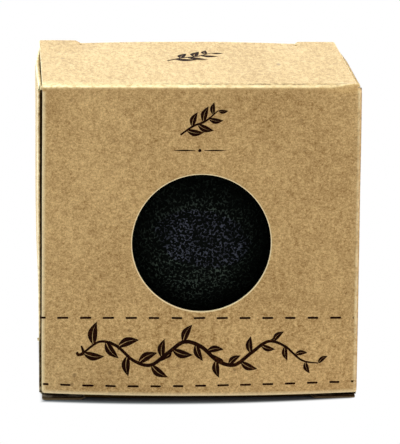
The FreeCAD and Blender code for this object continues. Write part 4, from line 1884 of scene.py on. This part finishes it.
@dataclass
class Print:
    """The brown print: two rows of dashes, sprigs and a vine."""

    palette: Palette
    sleeve: Sleeve
    lid: Closure
    leaves: NodeTree | None = None
    ink_top: float = 0.03
    ink_foot: float = -0.05
    dash_length: float = 2.75
    dash_width: float = 0.52
    dash_count: int = 15
    rows: tuple[DashRow, ...] = (
        DashRow("upper", up=22.0, start=-0.38, end=0.0, rise=-0.010, half_shift=0.27),
        DashRow("lower", up=4.39, start=0.35, end=-0.15, rise=0.035, half_shift=0.27, sway=-0.12),
    )
    vine_middle: float = 12.9
    vine_swing: float = 3.1
    vine_wave: float = 21.0
    vine_ends: Flat = (-29.0, 30.0)
    vine_curl: float = 1.7

    def slab(self, name: str, rings: Sequence[Points]) -> Object:
        """A closed, thin mesh.

        Args:
            name: its name.
            rings: the flat rings of points of its shapes.

        Returns:
            The object.
        """
        places: list[Place] = []
        faces: list[tuple[int, ...]] = []
        for ring in rings:
            start, count = len(places), len(ring)
            places += [(x, y, level) for level in (self.ink_top, self.ink_foot) for x, y in ring]
            faces.append(tuple(start + i for i in range(count)))
            faces.append(tuple(start + count + i for i in reversed(range(count))))
            for i in range(count):
                j = (i + 1) % count
                faces.append((start + j, start + i, start + count + i, start + count + j))
        return new_object(name, places, [], faces)

    def ribbon(self, name: str, strokes: Sequence[Stroke]) -> Object:
        """Brush strokes as closed, thin strips.

        Args:
            name: the object's name.
            strokes: the strokes.

        Returns:
            The object.
        """
        places: list[Place] = []
        faces: list[tuple[int, ...]] = []
        for stroke in strokes:
            line = stroke.line()
            way = np.gradient(line, axis=0)
            way /= np.linalg.norm(way, axis=1)[:, None]
            normal = np.stack([-way[:, 1], way[:, 0]], 1)
            half = stroke.width_at(np.linspace(0, 1, len(line)))[:, None] / 2
            start, count = len(places), len(line)
            for level in (self.ink_top, self.ink_foot):
                for edge in (line + normal * half, line - normal * half):
                    places += [(x, y, level) for x, y in edge]
            a, b, c, d = (start + count * k for k in range(4))
            for i in range(count - 1):
                faces += [(a + i, b + i, b + i + 1, a + i + 1), (c + i, c + i + 1, d + i + 1, d + i),
                          (a + i, a + i + 1, c + i + 1, c + i), (b + i, d + i, d + i + 1, b + i + 1)]
            faces += [(a, c, d, b), (a + count - 1, b + count - 1, d + count - 1, c + count - 1)]
        return new_object(name, places, [], faces)

    def leaf(self) -> Object:
        """A leaf of unit length in two halves, with a thin bare midrib between them.

        Returns:
            The object.
        """
        share = np.linspace(0, 1, 9)
        belly = 0.19 * np.sin(math.pi * share ** 0.85)
        sweep = 0.10 * np.sin(math.pi * share)
        gap = 0.018 * (1 - share)
        rings = []
        for hand in (-1, 1):
            outer = np.stack([share, sweep + hand * (belly + gap)], 1)
            inner = np.stack([share, sweep + hand * gap], 1)[::-1]
            rings.append(np.concatenate([outer, inner[1:-1]]))
        return self.slab("leaf_shape", rings)

    def leaf_tree(self) -> NodeTree:
        """Geometry Nodes that set leaves along a line, to both sides in turn.

        Returns:
            The tree.
        """
        kit, given, out = NodeKit.group(
            "leaves_along_line", "GeometryNodeTree",
            {"Line": "Geometry", "Leaf": "Object", "Count": 8, "Leaf Length": 3.0, "Leaf Angle": 0.8,
             "Seed": 1, "Ink": "Material"}, {"Leaves": "Geometry"})
        curve = kit.add("GeometryNodeMeshToCurve", {"Mesh": given["Line"]}).outputs["Curve"]
        even = kit.add("GeometryNodeResampleCurve", {"Curve": curve, "Count": given["Count"]})
        tangent = kit.add("GeometryNodeInputTangent").outputs[0]
        tangent = kit.add("ShaderNodeSeparateXYZ", {0: tangent}).outputs
        heading = kit.math("ARCTAN2", tangent["Y"], tangent["X"])
        index = kit.add("GeometryNodeInputIndex").outputs[0]
        hand = kit.minus(kit.times(kit.math("MODULO", index, 2.0), 2.0), 1.0)
        loose = kit.random(0.85, 1.12, given["Seed"])
        swing = kit.times(given["Leaf Angle"], hand, loose)
        share = kit.math("DIVIDE", index, kit.minus(given["Count"], 1.0))
        taper = kit.minus(1.08, kit.times(kit.math("POWER", share, 2.0), 0.45))
        length = kit.times(given["Leaf Length"], taper, loose)
        leaf = kit.add("GeometryNodeObjectInfo", {"Object": given["Leaf"]})
        placed = kit.add("GeometryNodeInstanceOnPoints", {
            "Points": even.outputs["Curve"], "Instance": leaf.outputs["Geometry"],
            "Rotation": kit.vector(z=kit.plus(heading, swing)),
            "Scale": kit.vector(length, kit.times(length, hand), 1.0)})
        self.end_tree(kit, placed, given["Ink"], out["Leaves"])
        return kit.tree

    def dash_tree(self) -> NodeTree:
        """Geometry Nodes that print a row of dashes, with a half one at each end.

        Returns:
            The tree.
        """
        kit, given, out = NodeKit.group(
            "row_of_dashes", "GeometryNodeTree",
            {"Count": 15, "Start": 0.0, "Pitch": 5.0, "Row": 0.0, "Rise": 0.0, "Half Shift": 0.27,
             "Sway": 0.0, "Dash Length": 2.6, "Dash Width": 0.47, "Ink Depth": 0.08, "Ink Top": 0.03,
             "Seed": 1, "Ink": "Material"}, {"Dashes": "Geometry"})
        count, length, width = given["Count"], given["Dash Length"], given["Dash Width"]
        line = kit.add("GeometryNodeMeshLine", {
            "Count": count, "Start Location": kit.vector(given["Start"], given["Row"], given["Ink Top"]),
            "Offset": kit.vector(given["Pitch"], given["Rise"])}, mode="OFFSET")
        index = kit.add("GeometryNodeInputIndex").outputs[0]
        first = kit.math("LESS_THAN", index, 0.5)
        last = kit.math("GREATER_THAN", index, kit.minus(count, 1.5))
        quarter = kit.times(length, given["Half Shift"])
        inwards = kit.times(kit.minus(first, last), quarter)
        turn = kit.math("DIVIDE", kit.times(index, math.tau), kit.minus(count, 1.0))
        sway = kit.times(kit.math("SINE", turn), given["Sway"])
        moved = kit.add("GeometryNodeSetPosition", {
            "Geometry": line.outputs["Mesh"], "Offset": kit.vector(inwards, sway)})
        box = kit.add("GeometryNodeCurvePrimitiveQuadrilateral", {"Width": length, "Height": width})
        rounded = kit.add("GeometryNodeFilletCurve", {
            "Curve": box.outputs["Curve"], "Count": 4, "Radius": kit.times(width, 0.45),
        }, mode="POLY").outputs["Curve"]
        filled = kit.add("GeometryNodeFillCurve", {"Curve": rounded}, mode="NGONS").outputs["Mesh"]
        depth = kit.times(given["Ink Depth"], -1.0)
        deep = kit.add("GeometryNodeExtrudeMesh", {"Mesh": filled, "Offset Scale": depth}, mode="FACES")
        both = kit.add("GeometryNodeJoinGeometry", {"Geometry": filled})
        kit.join(deep.outputs["Mesh"], both.inputs["Geometry"])
        whole = kit.add("GeometryNodeMergeByDistance", {
            "Geometry": both.outputs["Geometry"], "Distance": 0.001})
        loose = kit.random(0.93, 1.07, given["Seed"])
        shorter = kit.minus(1.0, kit.times(kit.plus(first, last), 0.5))
        tilt = kit.times(kit.minus(loose, 1.0), 0.35)
        placed = kit.add("GeometryNodeInstanceOnPoints", {
            "Points": moved.outputs["Geometry"], "Instance": whole.outputs["Geometry"],
            "Rotation": kit.vector(z=tilt),
            "Scale": kit.vector(kit.times(shorter, loose), 1.0, 1.0)})
        self.end_tree(kit, placed, given["Ink"], out["Dashes"])
        return kit.tree

    def end_tree(self, kit: NodeKit, placed: Node, ink: NodeSocket, out: NodeSocket) -> None:
        """Ends a tree: real copies with their material."""
        real = kit.add("GeometryNodeRealizeInstances", {"Geometry": placed.outputs["Instances"]}).outputs[0]
        kit.join(kit.add("GeometryNodeSetMaterial", {"Geometry": real, "Material": ink}).outputs[0], out)

    def grow(self, piece: Object, tree: NodeTree, values: dict[str, object]) -> None:
        """Runs a tree on an object and keeps the result as a plain mesh.

        Args:
            piece: the object that the tree starts from.
            tree: the Geometry Nodes tree.
            values: a value for each of the tree's named inputs.
        """
        modifier = piece.modifiers.new(tree.name, "NODES")
        modifier.node_group = tree
        for item in tree.interface.items_tree:
            if item.item_type == "SOCKET" and item.in_out == "INPUT" and item.name in values:
                modifier[item.identifier] = values[item.name]
        bpy.context.view_layer.update()
        shown = piece.evaluated_get(bpy.context.evaluated_depsgraph_get())
        mesh = bpy.data.meshes.new_from_object(shown)
        piece.modifiers.remove(modifier)
        piece.data = mesh

    def line_object(self, name: str, line: Points) -> Object:
        """A chain of edges along a line."""
        edges = [(i, i + 1) for i in range(len(line) - 1)]
        return new_object(name, [(x, y, 0.0) for x, y in line], edges, [])

    def finish(self, piece: Object, sheet: Sheet, body: str) -> None:
        """Lays a drawing on its face, inks it and lets it ride.

        Args:
            piece: the drawing.
            sheet: the face.
            body: the body that it rides with.
        """
        sheet.lay(piece)
        if not piece.data.materials:
            piece.data.materials.append(self.palette.ink(PRINT_INK))
        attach(piece, body)
        report(piece)

    def on_front(self, across: Points, up: Points) -> tuple[Points, Points]:
        """The front panel by its true width and height."""
        return self.sleeve.surface(across - SIZES.seam_edge, up)

    def on_lid(self, across: Points, along: Points) -> tuple[Points, Points]:
        """The lid by its true width and depth."""
        return self.lid.lid_surface(across, along + self.lid.lid_along(0.0))

    def build_dashes(self) -> None:
        """Both rows of dashes on the front panel."""
        size = SIZES
        tree = self.dash_tree()
        for seed, row in enumerate(self.rows, start=3):
            start, end = size.seam_edge + row.start, size.right + row.end
            piece = self.line_object(f"{row.name}_dashes", np.zeros((2, 2)))
            self.grow(piece, tree, {
                "Count": self.dash_count, "Start": start, "Pitch": (end - start) / (self.dash_count - 1),
                "Row": row.up, "Rise": row.rise, "Half Shift": row.half_shift, "Sway": row.sway,
                "Dash Length": self.dash_length, "Dash Width": self.dash_width,
                "Ink Depth": self.ink_top - self.ink_foot, "Ink Top": self.ink_top, "Seed": seed,
                "Ink": self.palette.ink(PRINT_INK)})
            self.finish(piece, Sheet(self.on_front), "carton")

    def build_leaves(self, name: str, line: Points, values: dict[str, object], sheet: Sheet,
                     body: str) -> None:
        """Leaves along a line.

        Args:
            name: the piece's name.
            line: the line.
            values: the number of the leaves, their length, angle and seed.
            sheet: the face.
            body: the body that they ride with.
        """
        leaf = self.leaf()
        leaves = self.line_object(name, line)
        self.grow(leaves, self.leaves, {"Leaf": leaf, "Ink": self.palette.ink(PRINT_INK), **values})
        bpy.data.objects.remove(leaf)
        self.finish(leaves, sheet, body)

    def build_sprig(self, name: str, centre: Flat, length: float, sheet: Sheet, body: str) -> None:
        """A small leafy sprig: a bent stem with leaves to both sides.

        Args:
            name: the start of its pieces' names.
            centre: its place on the face.
            length: its length.
            sheet: the face.
            body: the body that it rides with.
        """
        shape = ((-0.42, -0.30), (-0.14, -0.10), (0.14, 0.02), (0.42, 0.26))
        points = tuple((centre[0] + x * length, centre[1] + y * length) for x, y in shape)
        stem = Stroke(points, (0.045 * length, 0.05 * length, 0.02 * length), 24)
        self.finish(self.ribbon(f"{name}_stem", [stem]), sheet, body)
        self.build_leaves(f"{name}_leaves", stem.line()[4:], {
            "Count": 7, "Leaf Length": 0.36 * length, "Leaf Angle": 0.72, "Seed": 11}, sheet, body)

    def build_rule(self, centre: Flat, length: float) -> None:
        """A thin swelling rule in two halves with a bead between them.

        Args:
            centre: its place on the front.
            length: its length.
        """
        half, gap, thick, bead_radius = length / 2, 1.1, 0.34, 0.42
        strokes = []
        for hand in (-1, 1):
            points = tuple((centre[0] + hand * (gap + (half - gap) * share), centre[1])
                           for share in (0, 0.5, 1))
            strokes.append(Stroke(points, (0.12, thick, 0.05), 12))
        self.finish(self.ribbon("front_rule", strokes), Sheet(self.on_front), "carton")
        angles = np.linspace(0, 2 * math.pi, 13)[:-1]
        bead = np.stack([np.cos(angles), np.sin(angles)], 1) * bead_radius + np.array(centre)
        self.finish(self.slab("front_bead", [bead]), Sheet(self.on_front), "carton")

    def vine_height(self, across: float) -> float:
        """The height of the vine's stem at a place across."""
        turn = 2 * math.pi * (across - self.vine_ends[0]) / self.vine_wave
        return self.vine_middle + self.vine_swing * math.sin(turn)

    def build_vine(self) -> None:
        """A leafy vine between the two rows of dashes."""
        start, end = self.vine_ends
        line = tuple((float(x), self.vine_height(x)) for x in np.linspace(start, end, 15))
        curl = self.vine_curl
        curl_in = tuple((start - 1.2 + curl * share * math.cos(2.2 + 5.2 * share),
                         self.vine_middle + 0.3 + curl * share * math.sin(2.2 + 5.2 * share))
                        for share in (0.25, 0.5, 0.75, 1.0))
        stem = Stroke(line, (0.5, 1.0, 0.3), 150)
        strokes = [stem, Stroke(curl_in, (0.7, 0.8, 0.4), 24)]
        for number in range(4):
            foot = start + 6.0 + number * self.vine_wave * 0.62
            level = self.vine_height(foot)
            hand = 1 if number % 2 else -1
            tendril = tuple((foot + 0.4 + 3.4 * share + 0.9 * math.sin(4.4 * share),
                             level + hand * (3.6 * share - 1.5 * share * share))
                            for share in (0.0, 0.35, 0.7, 1.0))
            strokes.append(Stroke(tendril, (0.5, 0.55, 0.18), 20))
        self.finish(self.ribbon("vine_stem", strokes), Sheet(self.on_front), "carton")
        self.build_leaves("vine_leaves", stem.line(), {
            "Count": 22, "Leaf Length": 5.0, "Leaf Angle": 0.85, "Seed": 5}, Sheet(self.on_front), "carton")

    def build(self) -> None:
        """Prints everything."""
        self.leaves = self.leaf_tree()
        self.build_dashes()
        self.build_sprig("front_sprig", (-0.4, 72.8), 11.0, Sheet(self.on_front), "carton")
        self.build_rule((-0.2, 65.5), 13.0)
        self.build_vine()
        self.build_sprig("lid_sprig", (-0.8, 7.7), 14.0, Sheet(self.on_lid), "top_lid")


# The sponge and the glue


@dataclass
class Sponge:
    """The half ball of black konjac, with pores all over it."""

    palette: Palette
    rim: float = 6.0
    margin: float = 0.12
    turns: int = 96
    dome_pieces: int = 40
    bend_pieces: int = 14
    core_place: Flat = (1.0, 41.6)
    core_size: Flat = (13.0, 8.0)
    core_tilt: float = 0.15
    core_fade: Flat = (0.65, 1.15)
    # How the painted highlights fade away from the window, as painted shade, by depth behind the sponge's
    # front.
    front_fade: Flat = (0.6, 4.6)
    voxel: float = 0.42
    pore: float = 1.7
    pore_depth: float = 0.30
    small_pore: float = 0.9
    small_depth: float = 0.13
    pore_wall: Flat = (0.08, 0.75)
    dent: float = 0.35
    dent_size: float = 9.0
    hollow: float = 0.9

    def profile(self, radius: float, depth: float) -> list[Flat]:
        """The half section.

        Args:
            radius: the ball's radius.
            depth: its depth, front to back.

        Returns:
            Points by their distance from the axis and their depth behind the front.
        """
        rim = self.rim
        centre = (depth ** 2 - rim ** 2 - radius ** 2) / (2 * (depth - rim))
        dome = depth - centre
        tangent = math.atan2(radius - rim, dome - (depth - rim))
        points = [(dome * math.sin(a), dome * (1 - math.cos(a)))
                  for a in np.linspace(0, tangent, self.dome_pieces)]
        for angle in np.linspace(tangent, math.pi, self.bend_pieces)[1:]:
            points.append((radius - rim + rim * math.sin(angle), depth - rim - rim * math.cos(angle)))
        for share in np.linspace(1, 0, self.bend_pieces)[1:]:
            points.append(((radius - rim) * share, depth - self.hollow * (1 - share ** 2)))
        return points

    def build(self) -> None:
        """Turns the profile, remeshes it and opens its pores."""
        low, high = corners_of("sponge")
        turns, front = self.turns, low.y + self.margin / 2
        centre = ((low.x + high.x) / 2, (low.z + high.z) / 2)
        section = self.profile((high.x - low.x) / 2 - self.margin, high.y - low.y - self.margin)
        rings = section[1:-1]
        places = [(centre[0], front, centre[1])]
        for out, back in rings:
            for angle in (2 * math.pi * step / turns for step in range(turns)):
                places.append((centre[0] + out * math.cos(angle), front + back,
                               centre[1] + out * math.sin(angle)))
        places.append((centre[0], front + section[-1][1], centre[1]))
        last = len(places) - 1
        faces: list[tuple[int, ...]] = []
        for step in range(turns):
            after = (step + 1) % turns
            faces.append((0, 1 + step, 1 + after))
            for ring in range(len(rings) - 1):
                a = 1 + ring * turns
                faces.append((a + step, a + turns + step, a + turns + after, a + after))
            a = 1 + (len(rings) - 1) * turns
            faces.append((a + step, last, a + after))
        ball = new_object("sponge_ball", (np.array(places) * MM).tolist(), [], faces)
        remesh = ball.modifiers.new("even", "REMESH")
        remesh.mode = "VOXEL"
        remesh.voxel_size = self.voxel * MM
        bpy.context.view_layer.update()
        even = bpy.data.meshes.new_from_object(ball.evaluated_get(bpy.context.evaluated_depsgraph_get()))
        ball.modifiers.remove(remesh)
        ball.data = even
        self.open_pores(even)
        even.materials.append(self.palette.sponge(SPONGE_SKIN))
        for polygon in even.polygons:
            polygon.use_smooth = True
        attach(ball, "carton")
        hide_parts("sponge")
        report(ball)

    def open_pores(self, mesh: Mesh) -> None:
        """Presses pores and shallow dents into the mesh and marks the ridges between them.

        Args:
            mesh: the even mesh of the ball.
        """
        count = len(mesh.vertices)
        places, normals = np.zeros(count * 3), np.zeros(count * 3)
        mesh.vertices.foreach_get("co", places)
        mesh.vertices.foreach_get("normal", normals)
        places, normals = places.reshape(-1, 3) / MM, normals.reshape(-1, 3)
        walls = np.zeros((count, 2))
        dents = np.zeros(count)
        for index in range(count):
            spot = Vector(places[index])
            for column, cell in enumerate((self.pore, self.small_pore)):
                near = noise.voronoi(spot / cell)[0]
                walls[index, column] = near[1] - near[0]
            dents[index] = noise.noise(spot / self.dent_size)
        pits = smooth_step(walls[:, 0], *self.pore_wall)
        small = smooth_step(walls[:, 1], *self.pore_wall)
        depth = self.pore_depth * pits + self.small_depth * small + self.dent * (0.5 + 0.5 * dents)
        places -= normals * depth[:, None]
        mesh.vertices.foreach_set("co", (places * MM).ravel())
        low, _ = corners_of("sponge")
        flat = (places[:, 0] - self.core_place[0]) / self.core_size[0]
        tall = places[:, 2] - self.core_place[1] + self.core_tilt * places[:, 0]
        from_core = np.hypot(flat, tall / self.core_size[1])
        # middle dims the painted highlights away from the window as painted shade; core places the blue
        # tint.
        mark(mesh, {
            "middle": 1 - smooth_step(places[:, 1] - low.y, *self.front_fade),
            "core": 1 - smooth_step(from_core, *self.core_fade),
            "ridge": 1 - 0.75 * pits - 0.25 * small})
        mesh.update()


@dataclass
class SeamGlue:
    """The line of glue between the front panel and the flap behind it, on the sleeve's own curve."""

    palette: Palette
    sleeve: Sleeve
    play: float = 0.08
    thickness: float = 0.1
    step: float = 0.75

    def build(self) -> None:
        """Builds the line as a closed, thin ribbon."""
        size = SIZES
        low, high = corners_of("glue_strip")
        across = spread(low.x - size.seam_edge, high.x - size.seam_edge, self.step)
        up = spread(low.z, high.z, self.step)
        along, rise = (grid.ravel() for grid in np.meshgrid(across, up))
        places, normals = self.sleeve.surface(along, rise)
        depth = size.board + self.play
        layers = [SLACK.apply(places - normals * d) for d in (depth, depth + self.thickness)]
        columns, rows = len(across), len(up)
        count = columns * rows
        faces = []
        for row in range(rows - 1):
            for column in range(columns - 1):
                a = row * columns + column
                quad = (a, a + 1, a + columns + 1, a + columns)
                faces += [quad, tuple(v + count for v in reversed(quad))]
        ring = list(range(columns)) + [r * columns + columns - 1 for r in range(1, rows)]
        ring += [count - 1 - c for c in range(1, columns)] + [r * columns for r in range(rows - 2, 0, -1)]
        for a, b in zip(ring, ring[1:] + ring[:1]):
            faces.append((b, a, a + count, b + count))
        piece = board_object("seam_glue", np.concatenate(layers), faces, [0] * len(faces), {})
        piece.data.materials.append(self.palette.glue(SEAM_GLUE))
        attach(piece, "carton")
        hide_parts("glue_strip")
        report(piece)


# The studio


@dataclass(frozen=True)
class Lamp:
    """A soft square lamp."""

    name: str
    place: Place
    side: float
    power: float
    colour: Colour = (1.0, 1.0, 1.0)


@dataclass
class Studio:
    """The floor, the light and the camera."""

    lamps: tuple[Lamp, ...] = (
        Lamp("overhead", (0.0, 0.02, 1.0), 0.9, 8.05, (0.79, 0.99, 0.78)),
        Lamp("back_light", (0.0, 1.15, 0.62), 1.0, 5.0, (1.0, 0.995, 0.98)),
        Lamp("left_fill", (-1.10, 0.185, 0.35), 0.8, 19.4, (0.75, 1.0, 1.36)),
        Lamp("right_fill", (1.10, -0.30, 0.45), 0.8, 8.3, (1.12, 0.98, 0.99)),
    )
    sky: float = 0.577
    floor_half: float = 3.0
    floor_bounce: Colour = (0.43, 0.42, 0.40)
    # The floor colour that camera rays see in the shadow zone: a painted shadow.
    floor_shown: Colour = (0.13, 0.135, 0.14)
    shadow_start: float = 0.0001
    shadow_reach: float = 0.0019
    shadow_skew: float = 0.0035
    shadow_bend: float = 0.0031
    camera_place: Place = (-0.05208, -0.82078, 0.29026)
    yaw: float = math.radians(3.743)
    pitch: float = math.radians(16.897)
    roll: float = math.radians(0.85)
    focal_pixels: float = 3349.0
    frame_pixels: float = 444.0
    sensor: float = 36.0
    clip: Flat = (0.01, 20.0)

    def build_floor(self) -> None:
        """A plain white floor, with a painted shadow round the carton's foot."""
        half = self.floor_half
        corners = [(-half, -half, 0), (half, -half, 0), (half, half, 0), (-half, half, 0)]
        floor = new_object("floor", corners, [], [(0, 1, 2, 3)])
        material = bpy.data.materials.new("floor_white")
        material.use_nodes = True
        kit = NodeKit(material.node_tree)
        shader = material.node_tree.nodes["Principled BSDF"]
        direct = kit.add("ShaderNodeLightPath").outputs["Is Camera Ray"]
        # Camera rays see the darker painted shadow colour; other rays see the floor's bounce colour.
        kit.fill(shader, {"Base Color": kit.mix(direct, self.floor_bounce, self.floor_shown),
                          "Roughness": 0.9, "Specular IOR Level": 0.1})
        glow = kit.add("ShaderNodeEmission", {"Strength": 1.0})
        bare = kit.times(self.seen(kit), self.beyond_shadow(kit))
        mixed = kit.add("ShaderNodeMixShader", {
            "Fac": bare, 1: shader.outputs["BSDF"], 2: glow.outputs["Emission"]})
        kit.fill(material.node_tree.nodes["Material Output"], {"Surface": mixed.outputs["Shader"]})
        floor.data.materials.append(material)

    def beyond_shadow(self, kit: NodeKit) -> NodeSocket:
        """Marks the zone of the painted shadow, which follows the carton's bowed front.

        Args:
            kit: the floor's node tree.

        Returns:
            0 on the floor under the carton, and 1 beyond the painted soft shadow.
        """
        right, back = SIZES.right * MM, SIZES.back * MM
        place = kit.add("ShaderNodeTexCoord").outputs["Object"]
        split = kit.add("ShaderNodeSeparateXYZ", {0: place}).outputs
        across = kit.minus(kit.math("ABSOLUTE", split["X"]), right - self.shadow_reach)
        share = kit.math("DIVIDE", kit.plus(split["X"], self.shadow_skew), right)
        half = kit.minus(back, kit.times(share, share, self.shadow_bend))
        along = kit.minus(kit.math("ABSOLUTE", split["Y"]), half)
        return kit.ramp(kit.math("MAXIMUM", across, along), self.shadow_start, self.shadow_reach)

    def seen(self, kit: NodeKit) -> NodeSocket:
        """1 on the rays that show the background: camera, glossy and transmission rays."""
        path, sorts = kit.add("ShaderNodeLightPath").outputs, ("Camera", "Glossy", "Transmission")
        return kit.math("MAXIMUM", *(path[f"Is {sort} Ray"] for sort in sorts))

    def build_sky(self) -> None:
        """An even soft light, shown as plain white."""
        world = bpy.data.worlds.new("studio")
        bpy.context.scene.world = world
        world.use_nodes = True
        kit = NodeKit(world.node_tree)
        world.node_tree.nodes.clear()
        light, white = (kit.add("ShaderNodeBackground", {"Strength": strength, "Color": colour}).outputs[0]
                        for strength, colour in ((self.sky, (1.0, 0.995, 0.985, 1.0)), (1.0, (1.0,) * 4)))
        mixed = kit.add("ShaderNodeMixShader", {"Fac": self.seen(kit), 1: light, 2: white})
        kit.add("ShaderNodeOutputWorld", {"Surface": mixed.outputs[0]})

    def build_lamps(self) -> None:
        """The lamps, each aimed at the carton's middle."""
        target = Vector((0.0, 0.0, SIZES.top / 2 * MM))
        for lamp in self.lamps:
            light = bpy.data.lights.new(lamp.name, "AREA")
            light.shape = "SQUARE"
            light.size = lamp.side
            light.energy = lamp.power
            light.color = lamp.colour
            holder = bpy.data.objects.new(lamp.name, light)
            holder.location = lamp.place
            holder.rotation_euler = (target - Vector(lamp.place)).to_track_quat("-Z", "Y").to_euler()
            bpy.context.scene.collection.objects.link(holder)

    def build_camera(self) -> None:
        """The camera at the photograph's angle."""
        ahead = Vector((math.sin(self.yaw) * math.cos(self.pitch),
                        math.cos(self.yaw) * math.cos(self.pitch), -math.sin(self.pitch)))
        level = Vector((math.cos(self.yaw), -math.sin(self.yaw), 0.0))
        upright = level.cross(ahead)
        right = math.cos(self.roll) * level + math.sin(self.roll) * upright
        up = -math.sin(self.roll) * level + math.cos(self.roll) * upright
        data = bpy.data.cameras.new("camera")
        data.sensor_width = self.sensor
        data.lens = self.focal_pixels * self.sensor / self.frame_pixels
        data.clip_start, data.clip_end = self.clip
        camera = bpy.data.objects.new("camera", data)
        turned = Matrix((right, up, -ahead)).transposed().to_4x4()
        camera.matrix_world = Matrix.Translation(self.camera_place) @ turned
        bpy.context.scene.collection.objects.link(camera)
        bpy.context.scene.camera = camera

    def build(self) -> None:
        """Sets up everything round the object."""
        bpy.context.scene.view_settings.view_transform = "Standard"
        self.build_floor()
        self.build_sky()
        self.build_lamps()
        self.build_camera()


def main() -> None:
    """Builds the carton, its print and the sponge, and the studio round them."""
    logging.basicConfig(level=logging.INFO, format="%(name)s %(message)s")
    palette = Palette()
    sleeve = Sleeve(palette)
    sleeve.build()
    closures = {end: Closure(palette, end) for end in End}
    for closure in closures.values():
        closure.build()
    Print(palette, sleeve, closures[End.TOP]).build()
    Sponge(palette).build()
    SeamGlue(palette, sleeve).build()
    Studio().build()


if __name__ == "__main__":
    main()
